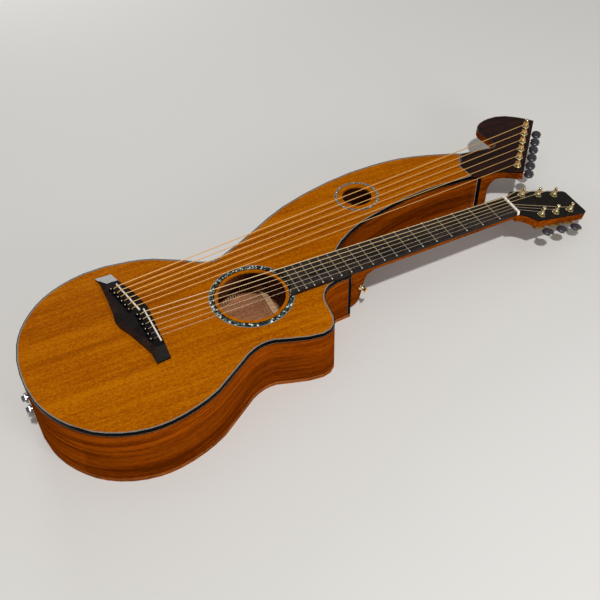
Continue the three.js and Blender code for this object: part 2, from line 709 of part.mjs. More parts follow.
function makeBridge() {
  const place = ([along, across]) =>
    vec2(bridgeFront - along * bridge.depth, bridgeEnd + across * bridge.span);
  const front = bridgeFrontShares.map(place);
  const rear = bridgeRearShares.map(place);
  const ring = (z, slope) => [...front, ...rear.map((point) => vec2(point.x + slope, point.y))]
    .map((point) => vec3(point.x, point.y, z));
  const carved = loft([
    ring(bridgeFoot, 0), ring(bridgeFoot + bridge.shoulder, 0), ring(bridgeTop, bridge.bellySlope),
  ], flattenZ);
  const y0 = bridgeEnd;
  const y1 = bridgeEnd + bridge.span;
  const tip = bridgeFoot + bridge.tipHeight;
  const profile = [
    [y0 - overrun, 0], [y0 - overrun, tip], [y0, tip], [y0 + bridge.trebleWing, bridgeTop],
    [y1 - bridge.harpWing, bridgeTop], [y1, tip], [y1 + overrun, tip], [y1 + overrun, 0],
  ];
  const across = (x) => profile.map(([y, z]) => vec3(x, y, z));
  const wings = loft([
    across(bridgeFront - bridge.depth - overrun), across(bridgeFront + overrun),
  ], flattenX);
  const slots = [guitarSaddle, harpSaddle].map((saddle) =>
    saddleBlock(saddle, glueLine, bridgeTop - bridge.slotDepth, bridgeTop + overrun));
  const pinShape = turned([
    [0, -bridge.shoulder / 2], [bridge.pinCrown, -bridge.shoulder / 2],
    [bridge.pinRadius, bridge.pinHeight / 2], [bridge.pinCrown, bridge.pinHeight], [0, bridge.pinHeight],
  ], bridge.pinSides);
  const pins = [guitarSaddle, harpSaddle].flatMap((saddle) => guitarGauges.map((_, i) => {
    const point = saddlePoint(saddle, i, bridge.pinSetback);
    return pinShape.translate([point.x, point.y, bridgeTop]);
  }));
  return piece('bridge', join(cut(carved.intersect(wings), ...slots), ...pins), ebony);
}

function makeSaddle(name, saddle) {
  const foot = bridgeTop - bridge.slotDepth + glueLine;
  const top = bridgeTop + saddle.proud;
  const half = saddle.thickness / 2;
  const reach = (saddle.spanShare * bridge.span) / 2;
  const profile = [
    [-half, foot], [half, foot], [half, top - saddle.crown], [half / 3, top], [-half / 3, top],
    [-half, top - saddle.crown],
  ];
  return piece(name, sideView(profile, -reach, reach), bone, saddleMatrix(saddle));
}

// The arm's head

const armHeadPoint = ([along, across]) => [armEndX + along * armHead.reach, across * arm.spread];
const rowCentre = vec2(...armHeadPoint(rowCentreShares));
const rowTurn = radians(armHead.rowAngle);
const rowAlong = vec2(Math.cos(rowTurn), Math.sin(rowTurn));
const rowOut = vec2(Math.sin(rowTurn), -Math.cos(rowTurn));
const harpCount = harpGauges.length;
const rowHalf = (armHead.postPitch * (harpCount - 1)) / 2;
const rowPoint = (along, out) =>
  rowCentre.clone().addScaledVector(rowAlong, along).addScaledVector(rowOut, out);

function armHeadOutline() {
  const horn = fair(hornShares.map(armHeadPoint));
  const throat = fair([
    rowPoint(-rowHalf - armHead.nearMargin, armHead.edgeInset).toArray(), ...throatShares.map(armHeadPoint),
  ]);
  return [
    ...horn, rowPoint(rowHalf + armHead.farMargin, armHead.edgeInset), ...throat,
    vec2(...armPoint(armNotchShares)),
  ].map((point) => vec2(point.x + glueLine, point.y));
}

const harpPosts = harpGauges.map((_, i) => rowPoint(rowHalf - i * armHead.postPitch, 0));

function makeArmHead() {
  const shape = armHeadOutline();
  const woodTop = -armHead.veneerThickness - glueLine;
  const woodFoot = -armHeadThickness;
  const throatX = armEndX + armHead.throatReach;
  const profile = [
    [armEndX - armHead.reach, woodTop], [armEndX + 2 * armHead.reach, woodTop],
    [armEndX + 2 * armHead.reach, woodFoot],
  ];
  for (let i = 0; i <= neck.sectionSides / 2; i += 1) {
    const turn = (Math.PI * i) / neck.sectionSides;
    profile.push([throatX + armHead.throatRadius * (1 - Math.sin(turn)),
      woodFoot - armHead.throatRadius * (1 - Math.cos(turn))]);
  }
  profile.push([throatX, backPlane(throatX)]);
  profile.push([armEndX - armHead.reach, backPlane(armEndX - armHead.reach)]);
  const wood = slab(shape, -body.tailDepth, woodTop).intersect(sideView(profile, 0, 2 * arm.spread));
  const blockRoom = (x1) => box(armBlockX, x1, 0, arm.spread, -body.tailDepth, 0);
  const sleeve = slab(insetBy(body.ribThickness + glueLine), above(ribFoot), ribTop)
    .intersect(blockRoom(armEndX));
  const core = slab(insetBy(body.liningReach), above(backInside), topInside).intersect(blockRoom(armEndX));
  const notch = armPoint(armNotchShares);
  const tongue = box(notch[0] - armHead.blockLap, notch[0] + armHead.blockLap,
    notch[1] - armHead.blockLap, notch[1] + armHead.blockLap, above(ribFoot), ribTop);
  const holes = harpPosts.map((point) => bushHole(0, 0, -armHeadThickness - overrun, overrun)
    .rotate([0, 0, armHead.rowAngle]).translate([point.x, point.y, 0]));
  return piece('arm_head', cut(join(wood, sleeve, core, tongue), ...holes), ribWood);
}

function makeArmVeneer() {
  const holes = harpPosts.map((point) => bushHole(0, 0, -armHead.veneerThickness - overrun, overrun)
    .rotate([0, 0, armHead.rowAngle]).translate([point.x, point.y, 0]));
  const plate = slab(armHeadOutline(), -armHead.veneerThickness, 0);
  return piece('arm_head_veneer', cut(plate, ...holes), ebony);
}

// Tuners. Each one's own frame has its post along Z through the origin on the head's face, the
// button out along Y, and the worm beside the wheel at worm offset times side along X.

const housingTop = (thickness) => -thickness - glueLine - tuner.plateThickness;
const wormLevel = (thickness) => housingTop(thickness) - tuner.housingHeight / 2;

function makePostShape(thickness) {
  const middle = wormLevel(thickness);
  const wheelTop = middle + tuner.wheelHeight / 2;
  const wheelFoot = middle - tuner.wheelHeight / 2;
  return turned([
    [0, wheelFoot], [tuner.wheelRadius, wheelFoot], [tuner.wheelRadius, wheelTop],
    [tuner.postRadius, wheelTop], [tuner.postRadius, tuner.waistLow],
    [tuner.waistRadius, tuner.waistLow + tuner.tipLength],
    [tuner.waistRadius, tuner.waistHigh], [tuner.postRadius, tuner.waistHigh + tuner.tipLength],
    [tuner.postRadius, tuner.postRise - tuner.tipLength], [tuner.tipRadius, tuner.postRise],
    [0, tuner.postRise],
  ], tuner.postSides);
}

function makeButtonShape(thickness, side) {
  const shaft = turned([
    [0, -tuner.wormHalf], [tuner.wormRadius, -tuner.wormHalf], [tuner.wormRadius, tuner.wormHalf],
    [tuner.shaftRadius, tuner.wormHalf], [tuner.shaftRadius, tuner.collarStart],
    [tuner.collarRadius, tuner.collarStart], [tuner.collarRadius, tuner.collarEnd],
    [tuner.screwRadius, tuner.buttonStart],
    [tuner.screwRadius, tuner.buttonStart + tuner.buttonLength + tuner.screwProud],
    [0, tuner.buttonStart + tuner.buttonLength + tuner.screwProud],
  ], tuner.shaftSides);
  const oval = turned([
    [0, tuner.buttonStart], ...buttonShares.map(([along, across]) =>
      [across * tuner.buttonRadius, tuner.buttonStart + along * tuner.buttonLength]),
    [0, tuner.buttonStart + tuner.buttonLength],
  ], tuner.buttonSides).scale([1, tuner.buttonFlatness, 1]);
  return join(shaft, oval).rotate([-90, 0, 0])
    .translate([side * tuner.wormOffset, 0, wormLevel(thickness)]);
}

function makeHousing(thickness, side) {
  const top = housingTop(thickness);
  const x0 = side > 0 ? -tuner.housingBack : -tuner.housingFront;
  const x1 = side > 0 ? tuner.housingFront : tuner.housingBack;
  const shellBox = box(x0, x1, -tuner.housingRear, tuner.housingNose, top - tuner.housingHeight, top);
  const bush = round(tuner.bushRadius, tuner.boreSides, top - tuner.wall / 2, tuner.nutHeight / 2);
  const hexNut = round(tuner.nutRadius, tuner.nutSides, glueLine, tuner.nutHeight);
  const cavity = box(x0 + tuner.wall, x1 - tuner.wall, -tuner.housingRear + tuner.wall,
    tuner.housingNose - tuner.wall, top - tuner.housingHeight + tuner.wall, top - tuner.wall);
  const bore = round(tuner.bushBore, tuner.boreSides, wormLevel(thickness), tuner.nutHeight + overrun);
  const shaftBore = round(tuner.shaftBore, tuner.boreSides, 0, tuner.housingNose + overrun)
    .rotate([-90, 0, 0]).translate([side * tuner.wormOffset, 0, wormLevel(thickness)]);
  return { solid: join(shellBox, bush, hexNut), voids: [cavity, bore, shaftBore] };
}

function makeTunerPlate(name, places, thickness, side, matrix) {
  const outer = [];
  const voids = [];
  for (const place of places) {
    const one = makeHousing(thickness, side);
    outer.push(solid(geometryOf(one.solid).applyMatrix4(place)));
    voids.push(...one.voids.map((space) => solid(geometryOf(space).applyMatrix4(place))));
  }
  const first = vec3(0, 0, 0).applyMatrix4(places[0]);
  const last = vec3(0, 0, 0).applyMatrix4(places[places.length - 1]);
  const run = last.clone().sub(first);
  const half = run.length() / 2 + tuner.plateOverhang;
  const strip = solid(geometryOf(box(-half, half, -tuner.plateWidth / 2, tuner.plateWidth / 2,
    housingTop(thickness) - tuner.wall / 2, -thickness - glueLine))
    .applyMatrix4(new THREE.Matrix4().makeRotationZ(Math.atan2(run.y, run.x))
      .setPosition(first.add(last).multiplyScalar(0.5))));
  return piece(name, cut(join(strip, ...outer), ...voids), gold, matrix);
}

const frameOf = (x, y, turn) => new THREE.Matrix4().makeRotationZ(turn).setPosition(x, y, 0);

const headTuners = headPosts().map(({ along, across, side }, i) => ({
  name: `${side > 0 ? 'bass' : 'treble'}_${(i % postsASide) + 1}`, side,
  local: frameOf(along, across, side > 0 ? 0 : Math.PI),
}));
const harpTuners = harpPosts.map((point, i) => ({
  name: `harp_${i + 1}`, side: -1, local: frameOf(point.x, point.y, rowTurn + Math.PI),
}));

function makeTuners() {
  const made = [];
  const sets = [
    { tuners: headTuners, thickness: headThickness, matrix: headMatrix },
    { tuners: harpTuners, thickness: armHeadThickness, matrix: new THREE.Matrix4() },
  ];
  for (const { tuners, thickness, matrix } of sets) {
    const post = makePostShape(thickness);
    for (const { name, side, local } of tuners) {
      const world = matrix.clone().multiply(local);
      made.push(piece(`tuner_post_${name}`, post, gold, world));
      made.push(piece(`tuner_button_${name}`, makeButtonShape(thickness, side), blackPlastic, world));
    }
  }
  const pick = (side) => headTuners.filter((one) => one.side === side).map((one) => one.local);
  made.push(makeTunerPlate('tuner_plate_bass', pick(1), headThickness, 1, headMatrix));
  made.push(makeTunerPlate('tuner_plate_treble', pick(-1), headThickness, -1, headMatrix));
  made.push(makeTunerPlate('tuner_plate_harp', harpTuners.map((one) => one.local), armHeadThickness, -1,
    new THREE.Matrix4()));
  return made;
}

// Strings: one unbroken tube each, from its pin over the saddle to its post and round it

function stringPath(start, crossings, postMatrix, radius, turnSign) {
  const coilRadius = tuner.waistRadius + string.postGap + radius;
  const pitch = 2 * radius + string.coilGap;
  const inPost = postMatrix.clone().invert();
  const lastCrossing = crossings[crossings.length - 1].clone().applyMatrix4(inPost);
  const distance = Math.hypot(lastCrossing.x, lastCrossing.y);
  const bearing = Math.atan2(lastCrossing.y, lastCrossing.x);
  const firstTurn = bearing + turnSign * -Math.acos(coilRadius / distance);
  const coil = [];
  const steps = string.turns * string.stepsPerTurn;
  for (let i = 0; i <= steps; i += 1) {
    const turn = firstTurn - (turnSign * -1 * 2 * Math.PI * i) / string.stepsPerTurn;
    const drop = (pitch * i) / string.stepsPerTurn;
    coil.push(vec3(coilRadius * Math.cos(turn), coilRadius * Math.sin(turn), tuner.stringLevel - drop)
      .applyMatrix4(postMatrix));
  }
  return { points: [start, ...crossings, ...coil], steps: string.stepsPerTurn };
}

const segmentGap = (points, i, j) => {
  let least = Infinity;
  for (const s of gapShares) {
    const p = points[i].clone().lerp(points[i + 1], s);
    for (const t of gapShares) {
      least = Math.min(least, p.distanceTo(points[j].clone().lerp(points[j + 1], t)));
    }
  }
  return least;
};

function leastCoilGap({ points, steps }, radius) {
  let least = Infinity;
  for (let i = 0; i + 1 < points.length; i += 1) {
    for (let j = i + Math.ceil(steps / 2); j + 1 < points.length; j += 1) {
      least = Math.min(least, segmentGap(points, i, j));
    }
  }
  return least - 2 * radius;
}

const coilGaps = [];

function makeString(name, start, crossings, postMatrix, gauge, turnSign, material) {
  const path = stringPath(start, crossings, postMatrix, gauge / 2, turnSign);
  coilGaps.push(leastCoilGap(path, gauge / 2));
  return piece(name, tube(path.points, gauge / 2), material);
}

function pinStart(saddle, i, radius) {
  const point = saddlePoint(saddle, i, bridge.pinSetback - bridge.pinRadius - string.pinGap);
  return vec3(point.x, point.y, bridgeTop + radius + string.seat);
}

function saddleCrossing(saddle, i, radius) {
  const point = saddlePoint(saddle, i);
  return vec3(point.x, point.y, bridgeTop + saddle.proud + radius + string.seat);
}

function makeGuitarStrings() {
  return guitarGauges.map((gauge, i) => {
    const radius = gauge / 2;
    const bass = i < postsASide;
    const tunerAt = bass ? headTuners[i] : headTuners[headTuners.length - 1 - (i - postsASide)];
    const nutLevel = glueLine + nut.height - nut.slotDepth + radius + string.seat;
    const crossings = [
      saddleCrossing(guitarSaddle, i, radius), vec3(glueLine, nutStringY(i), nutLevel),
      vec3(glueLine + nut.thickness, nutStringY(i), nutLevel),
    ];
    return makeString(`string_${guitarGauges.length - i}`, pinStart(guitarSaddle, i, radius), crossings,
      headMatrix.clone().multiply(tunerAt.local), gauge, bass ? 1 : -1,
      i < woundCount ? bronze : steel);
  });
}

function makeHarpStrings() {
  return harpGauges.map((gauge, i) => {
    const radius = gauge / 2;
    return makeString(`harp_string_${i + 1}`, pinStart(harpSaddle, i, radius),
      [saddleCrossing(harpSaddle, i, radius)], harpTuners[i].local, gauge, -1, bronze);
  });
}

// Strap button and output jacks

function makeStrapButton() {
  const level = heelShares.findIndex(([depthShare]) => depthShare * neck.heelDepth >= strapButton.depth);
  const turn = Math.PI - radians(strapButton.turn);
  const upward = heelPoint(heelShares[level - 1], turn).sub(heelPoint(heelShares[level + 1], turn));
  const step = Math.PI / neck.sectionSides;
  const around = heelPoint(heelShares[level], turn + step).sub(heelPoint(heelShares[level], turn - step));
  const out = upward.clone().cross(around).normalize();
  const foot = heelPoint(heelShares[level], turn).addScaledVector(out, glueLine);
  const side = upward.normalize().clone().cross(out);
  const matrix = new THREE.Matrix4().makeBasis(side, upward, out).setPosition(foot);
  const shape = turned([
    [0, 0], [strapButton.footRadius, 0], [strapButton.waistRadius, strapButton.height / 3],
    [strapButton.waistRadius, strapButton.height - strapButton.headHeight],
    [strapButton.headRadius, strapButton.height - strapButton.headHeight / 2],
    [strapButton.waistRadius, strapButton.height], [0, strapButton.height],
  ], strapButton.sides);
  return piece('strap_button', shape, gold, matrix);
}

function makeJack(name, depth) {
  const washer = jack.washerThickness;
  const inner = -jack.inside;
  const shape = turned([
    [0, inner], [jack.bodyRadius, inner], [jack.bodyRadius, -tailBlock.depth - glueLine],
    [jack.barrelRadius, -tailBlock.depth - glueLine], [jack.barrelRadius, glueLine],
    [jack.washerRadius, glueLine], [jack.washerRadius, glueLine + washer],
    [jack.barrelRadius, glueLine + washer], [jack.barrelRadius, jack.proud],
    [jack.mouthRadius, jack.proud], [jack.mouthRadius, inner / 2], [0, inner / 2],
  ], jack.sides);
  const hexNut = slab(circle(0, 0, jack.nutRadius, jack.nutSides), glueLine + washer / 2,
    glueLine + washer + jack.nutThickness,
    circle(0, 0, (jack.barrelRadius + jack.mouthRadius) / 2, jack.sides));
  const matrix = new THREE.Matrix4().makeRotationY(-Math.PI / 2).setPosition(tailX, -jack.side, -depth);
  return piece(name, join(shape, hexNut), nickel, matrix);
}

// Assembly: everything is built level with the soundboard and then laid down on its back, with
// the origin on the back's outer face under the middle of the body.

const instrument = new THREE.Group();
instrument.add(
  makeSoundboard(), makeBack(), ...makeRibs(), makeTailBlock(), makeBinding(),
  makeRosette('main_rosette', soundhole, soundholeAt), makeRosette('arm_rosette', armHole, armHoleAt),
  makeBridge(), makeSaddle('guitar_saddle', guitarSaddle), makeSaddle('harp_saddle', harpSaddle),
  makeNeck(), makeHeadVeneer(), makeFretboard(), makeNut(), makeArmHead(), makeArmVeneer(),
  ...makeTuners(), ...makeGuitarStrings(), ...makeHarpStrings(),
  makeStrapButton(), makeJack('output_jack_upper', jack.upperDepth),
  makeJack('output_jack_lower', jack.lowerDepth),
);

const bodyMiddleX = (jointX + tailX) / 2;
instrument.rotation.y = Math.atan(backSlope);
instrument.updateMatrix();
const underMiddle = vec3(bodyMiddleX, 0, backPlane(bodyMiddleX)).applyMatrix4(instrument.matrix);
instrument.position.copy(underMiddle.negate());

console.log(`least gap between a string's turns: ${Math.min(...coilGaps).toFixed(2)} mm`);

const model = new THREE.Group();
model.add(instrument);

export default model;
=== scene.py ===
# Harp guitar: a six-string cutaway guitar whose bass side runs on into a hollow arm with six more
# strings. It lies on its flat back with the soundboard up, in metres, +X towards the heads.
import json
import math

import bmesh
import bpy
from mathutils import Matrix, Vector
from mathutils.bvhtree import BVHTree


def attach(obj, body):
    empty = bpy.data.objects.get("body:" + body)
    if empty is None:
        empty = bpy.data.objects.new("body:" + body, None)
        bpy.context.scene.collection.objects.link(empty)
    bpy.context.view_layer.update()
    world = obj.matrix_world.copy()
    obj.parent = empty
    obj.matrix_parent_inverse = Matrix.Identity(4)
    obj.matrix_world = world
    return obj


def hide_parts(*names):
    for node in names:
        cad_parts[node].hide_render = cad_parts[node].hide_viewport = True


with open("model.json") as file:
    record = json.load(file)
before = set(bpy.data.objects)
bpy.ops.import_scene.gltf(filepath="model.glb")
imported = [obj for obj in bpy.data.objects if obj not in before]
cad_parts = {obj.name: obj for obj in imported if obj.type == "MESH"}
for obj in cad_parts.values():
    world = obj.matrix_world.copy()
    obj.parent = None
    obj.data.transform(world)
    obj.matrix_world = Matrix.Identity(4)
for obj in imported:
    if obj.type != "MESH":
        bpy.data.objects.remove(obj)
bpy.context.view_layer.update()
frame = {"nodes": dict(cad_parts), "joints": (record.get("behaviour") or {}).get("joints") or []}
nodes = frame["nodes"]
joints = {joint["name"]: joint for joint in frame["joints"]}

# How the instrument lies. The soundboard is level in its own frame, in millimetres, with x = 0 at
# the nut's front edge and z = 0 on its face. The body tapers from tail to heel, so it leans on its
# back, and the frame's origin is under the middle of the body.
mm = 0.001
scale_length = 632.5
heel_x = -scale_length / 2
body_length = 521.5
tail_x = heel_x - body_length
heel_depth, tail_depth = 97, 122
leaning = Matrix.Rotation(math.atan2(tail_depth - heel_depth, body_length), 4, "Y")
under_middle = Vector(((heel_x + tail_x) / 2, 0, -(heel_depth + tail_depth) / 2)) * mm
laid = Matrix.Translation(-(leaning @ under_middle)) @ leaning
top_up = laid.to_3x3() @ Vector((0, 0, 1))
top_inverse = laid.inverted()

# Camera, at the photograph's angle: from above the treble side of the tail. Its place and its turns
# are in the soundboard's frame, in millimetres and degrees.
camera_place = (-790.784, -890.277, 962.91)
camera_aside, camera_below_level, camera_roll = -23.992, 46.035, -1.411
focal_length, sensor_width = 52.108, 36
camera_data = bpy.data.cameras.new("camera")
camera_data.sensor_width = sensor_width
camera_data.lens = focal_length
camera = bpy.data.objects.new("camera", camera_data)
bpy.context.scene.collection.objects.link(camera)
camera.matrix_world = (
    laid
    @ Matrix.Translation([place * mm for place in camera_place])
    @ Matrix.Rotation(math.radians(camera_aside), 4, "Z")
    @ Matrix.Rotation(math.radians(90 - camera_below_level), 4, "X")
    @ Matrix.Rotation(math.radians(camera_roll), 4, "Z")
)
bpy.context.scene.camera = camera
bpy.context.scene.view_settings.view_transform = "Standard"


# Floor and light: a plain pale floor in a pale room. The key lamp hangs over the treble side, as
# the strings' shadows show. A lower one lights the cutaway and heel, and a weak one the bass side.
def linear(hex_colour):
    """An sRGB hex colour as linear red, green, blue and alpha."""
    shares = [int(hex_colour[i : i + 2], 16) / 255 for i in (1, 3, 5)]
    return [s / 12.92 if s <= 0.04045 else ((s + 0.055) / 1.055) ** 2.4 for s in shares] + [1]


def add_node(owner, kind, inputs=None, stops=None, **settings):
    """Adds one node to a material or world. An input is a value or another node's output."""
    made = owner.node_tree.nodes.new(kind)
    for key, value in settings.items():
        setattr(made, key, value)
    for key, value in (inputs or {}).items():
        if isinstance(value, bpy.types.NodeSocket):
            owner.node_tree.links.new(value, made.inputs[key])
        else:
            made.inputs[key].default_value = value
    for i, (place, hex_colour) in enumerate(stops or []):
        if i > 1:
            made.color_ramp.elements.new(place)
        made.color_ramp.elements[i].position = place
        made.color_ramp.elements[i].color = linear(hex_colour)
    return made


def new_finish(name):
    """An empty material and its shader node."""
    material = bpy.data.materials.new(name)
    material.use_nodes = True
    return material, material.node_tree.nodes["Principled BSDF"]


# Paint, rolled on smooth: pale and quite matt.
floor_paint, shader = new_finish("floor_paint")
shader.inputs["Base Color"].default_value = linear("#dcdad6")
shader.inputs["Roughness"].default_value = 0.9
floor_reach, floor_gap = 6, 0.3
floor_mesh = bpy.data.meshes.new("floor")
bm = bmesh.new()
bmesh.ops.create_grid(bm, x_segments=1, y_segments=1, size=floor_reach)
bmesh.ops.translate(bm, verts=bm.verts, vec=(0, 0, -floor_gap * mm))
bm.to_mesh(floor_mesh)
bm.free()
floor_mesh.materials.append(floor_paint)
floor = bpy.data.objects.new("floor", floor_mesh)
bpy.context.scene.collection.objects.link(floor)

world = bpy.data.worlds.new("room")
bpy.context.scene.world = world
world.use_nodes = True
world.node_tree.nodes["Background"].inputs["Color"].default_value = linear("#eeedeb")
world.node_tree.nodes["Background"].inputs["Strength"].default_value = 0.3


def lamp(name, place, target, size, power):
    """A round lamp that faces its target, with places and size in metres and power in watts."""
    data = bpy.data.lights.new(name, "AREA")
    data.shape = "DISK"
    data.size = size
    data.energy = power
    lit = bpy.data.objects.new(name, data)
    bpy.context.scene.collection.objects.link(lit)
    lit.location = place
    lit.rotation_mode = "QUATERNION"
    lit.rotation_quaternion = (Vector(target) - Vector(place)).to_track_quat("-Z", "Y")


lamp("key_lamp", place=(0.0, -1.75, 3.55), target=(0.15, 0, 0.1), size=0.2, power=95)
lamp("front_lamp", place=(0.9, -2.1, 0.8), target=(0.1, 0, 0.1), size=0.9, power=14)
lamp("back_lamp", place=(0.15, 2.4, 0.75), target=(0.1, 0, 0.1), size=0.85, power=13)


# Soundboard: a 3 mm plate of mottled mahogany under an amber lacquer, rubbed down. It is glued on
# the linings and braced beneath, where the wood is bare. Its edge has half of a shell line, whose
# grey is partly a painted highlight of the binding's edge, or at the arm's joint a line of maple.
def add_piece(name, body, replaced, bm, finishes, sharp_angle=35):
    """Makes the object, smooth where its faces meet at less than the sharp angle in degrees."""
    mesh = bpy.data.meshes.new(name)
    bm.to_mesh(mesh)
    bm.free()
    mesh.shade_smooth()
    mesh.set_sharp_from_angle(angle=math.radians(sharp_angle))
    for finish in finishes:
        mesh.materials.append(finish)
    made = bpy.data.objects.new(name, mesh)
    bpy.context.scene.collection.objects.link(made)
    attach(made, body)
    if replaced:
        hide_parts(replaced)


weld = 0.002
flat_angle = 0.2


def merged(node):
    """A copy of a CAD node's mesh with its triangles joined and its flat faces made whole."""
    bm = bmesh.new()
    bm.from_mesh(nodes[node].data)
    bmesh.ops.remove_doubles(bm, verts=bm.verts, dist=weld * mm)
    bmesh.ops.dissolve_limit(bm, angle_limit=math.radians(flat_angle), verts=bm.verts, edges=bm.edges)
    bm.normal_update()
    return bm


def on_top(point):
    """A point's place in the soundboard's own frame, in millimetres."""
    return (top_inverse @ point) / mm


def middle(face):
    """The middle of a face in the soundboard's own frame, in millimetres."""
    return on_top(face.calc_center_median())


def inset(bm, faces, width):
    """Insets a group of faces as one and returns the faces of the rim that this leaves."""
    made = bmesh.ops.inset_region(
        bm, faces=faces, thickness=width * mm, use_boundary=True, use_even_offset=True,
    )
    return made["faces"]


def per_metre(size):
    """A texture's scale for spots of this many millimetres."""
    return 1000 / size


def wood_finish(
    name, colours, squeeze, widths, pore_share, roughness, gloss=0.05, fleck_share=0.35,
):
    """Wood: broad figure, growth streaks, short flecks and dark open pores, all along the grain.
    colours are early, usual and late wood. squeeze is small on the axes that the grain follows.
    widths are in millimetres across the grain: the figure's, a streak's, a fleck's and a pore's.
    A real pore is 0.2 mm wide, too fine to show, so it is drawn wider."""
    early, usual, late = colours
    finish, shader = new_finish(name)
    place = add_node(finish, "ShaderNodeTexCoord").outputs["Object"]
    short = [max(s, 0.3) for s in squeeze]
    spots = []
    for width, stretch, bend in zip(widths, (squeeze, squeeze, short, short), (0.6, 0.3, 0.2, 0.0)):
        mapped = add_node(finish, "ShaderNodeMapping", {"Vector": place, "Scale": stretch})
        spots.append(add_node(
            finish, "ShaderNodeTexNoise",
            {"Vector": mapped.outputs["Vector"], "Scale": per_metre(width), "Detail": 3.0,
             "Roughness": 0.55, "Distortion": bend},
        ).outputs["Fac"])
    figure, streaks, flecks, pores = spots
    lines = add_node(finish, "ShaderNodeMix", {"Factor": 0.5, "A": figure, "B": streaks})
    grain = add_node(
        finish, "ShaderNodeMix", {"Factor": fleck_share, "A": lines.outputs["Result"], "B": flecks},
    )
    tone = add_node(
        finish, "ShaderNodeValToRGB", {"Fac": grain.outputs["Result"]},
        stops=[(0.42, late), (0.5, usual), (0.58, early)],
    )
    open_pores = add_node(
        finish, "ShaderNodeMapRange",
        {"Value": pores, "From Min": 0.36, "From Max": 0.44, "To Min": pore_share, "To Max": 0.0},
    )
    dark = add_node(
        finish, "ShaderNodeMix",
        {"Factor": open_pores.outputs["Result"], "A": tone.outputs["Color"], "B": linear(late)},
        data_type="RGBA", blend_type="MULTIPLY",
    )
    finish.node_tree.links.new(dark.outputs["Result"], shader.inputs["Base Color"])
    bump = add_node(
        finish, "ShaderNodeBump", {"Height": pores, "Strength": 0.12, "Distance": 0.1 * mm},
    )
    finish.node_tree.links.new(bump.outputs["Normal"], shader.inputs["Normal"])
    dull = add_node(
        finish, "ShaderNodeMapRange",
        {"Value": flecks, "From Min": 0.3, "From Max": 0.7,
         "To Min": roughness * 0.85, "To Max": roughness * 1.15},
    )
    finish.node_tree.links.new(dull.outputs["Result"], shader.inputs["Roughness"])
    shader.inputs["Specular IOR Level"].default_value = gloss
    return finish


def plain_finish(
    name, hex_colour, roughness, metallic=0.0, coat=0.0, spread=0.06, grain=2.5, gloss=0.5,
):
    """One colour that varies a little in lightness and roughness, as cast or polished stock does.
    grain is the size in millimetres of the spots that vary."""
    finish, shader = new_finish(name)
    place = add_node(finish, "ShaderNodeTexCoord").outputs["Object"]
    cloud = add_node(
        finish, "ShaderNodeTexNoise",
        {"Vector": place, "Scale": per_metre(grain), "Detail": 3.0, "Roughness": 0.55},
    ).outputs["Fac"]
    light = add_node(
        finish, "ShaderNodeMapRange",
        {"Value": cloud, "From Min": 0.3, "From Max": 0.7, "To Min": 1 - spread, "To Max": 1 + spread},
    )
    tint = add_node(
        finish, "ShaderNodeHueSaturation",
        {"Value": light.outputs["Result"], "Color": linear(hex_colour)},
    )
    finish.node_tree.links.new(tint.outputs["Color"], shader.inputs["Base Color"])
    dull = add_node(
        finish, "ShaderNodeMapRange",
        {"Value": cloud, "From Min": 0.3, "From Max": 0.7,
         "To Min": roughness * 0.85, "To Max": roughness * 1.15},
    )
    finish.node_tree.links.new(dull.outputs["Result"], shader.inputs["Roughness"])
    shader.inputs["Metallic"].default_value = metallic
    shader.inputs["Coat Weight"].default_value = coat
    shader.inputs["Coat Roughness"].default_value = 0.06
    shader.inputs["Specular IOR Level"].default_value = gloss
    return finish


# Mahogany, planed, stained amber and sprayed with a thin lacquer, which is rubbed dull. The short
# grain mottles it, and the lacquer leaves it warm, with hardly any shine.
top_mahogany = wood_finish(
    "lacquered_top_mahogany", ("#bb6c04", "#a65901", "#914801"), squeeze=(0.03, 1.0, 1.0),
    widths=(30, 6, 1.3, 1.0), pore_share=0.4, roughness=0.36, gloss=0.01, fleck_share=0.5,
)
# Spruce, split and planed and left bare inside: pale tan with straight fine lines and no gloss.
bare_spruce = wood_finish(
    "bare_spruce", ("#dcb48e", "#cfa27c", "#b88a64"), squeeze=(0.04, 1.0, 1.0),
    widths=(30, 2.5, 2, 1.2), pore_share=0.1, roughness=0.75,
)
# Grey shell, sawn in thin strips and polished: cloudy, a little greenish, with a hard shine. Round
# the top's edge its grey is also a painted highlight on the black binding.
shell_line_and_highlight = plain_finish("grey_shell_line_and_highlight", "#8b897f", 0.3, coat=0.2, spread=0.2, grain=3, gloss=0.35)
# Maple, a strip of white wood that the lacquer stains: a thin warm line.
maple_line = plain_finish("maple_line", "#a0714c", 0.4, spread=0.1, gloss=0.05)

# Each rosette has its centre, its inner radius and its outer one.
rosettes = [
    ("main_rosette", (-476, 0), 58.3, 67.25),
    ("arm_rosette", (-218.4, 142.4), 34.7, 38.5),
]
top_thickness, near_face, edge_line, clear_of_ring = 3, 1, 0.5, 3
# At the arm's joint, past this x and between these two y, the line is maple.
arm_joint_x, arm_joint_low, arm_joint_high = -13, 102, 164.5
finishes = [top_mahogany, bare_spruce, shell_line_and_highlight, maple_line]
bm = merged("soundboard")
face_up = []
for face in bm.faces:
    rise = face.normal.dot(top_up)
    level = middle(face).z
    if rise > 0.9 and level > -near_face:
        face_up.append(face)
    elif abs(rise) > 0.2 or level < -(top_thickness + 0.1):
        face.material_index = finishes.index(bare_spruce)
# The rim's grey is partly a painted highlight of the binding's edge.
for face in inset(bm, face_up, edge_line):
    place = middle(face)
    by_hole = any(
        (place.xy - Vector(centre)).length < outer + clear_of_ring
        for _, centre, _, outer in rosettes
    )
    at_joint = place.x > arm_joint_x and arm_joint_low < place.y < arm_joint_high
    if not by_hole:
        face.material_index = finishes.index(maple_line if at_joint else shell_line_and_highlight)
add_piece("soundboard_dressed", "guitar", "soundboard", bm, finishes)
soundboard_tree = BVHTree.FromPolygons(
    [v.co.copy() for v in nodes["soundboard"].data.vertices],
    [tuple(p.vertices) for p in nodes["soundboard"].data.polygons],
)
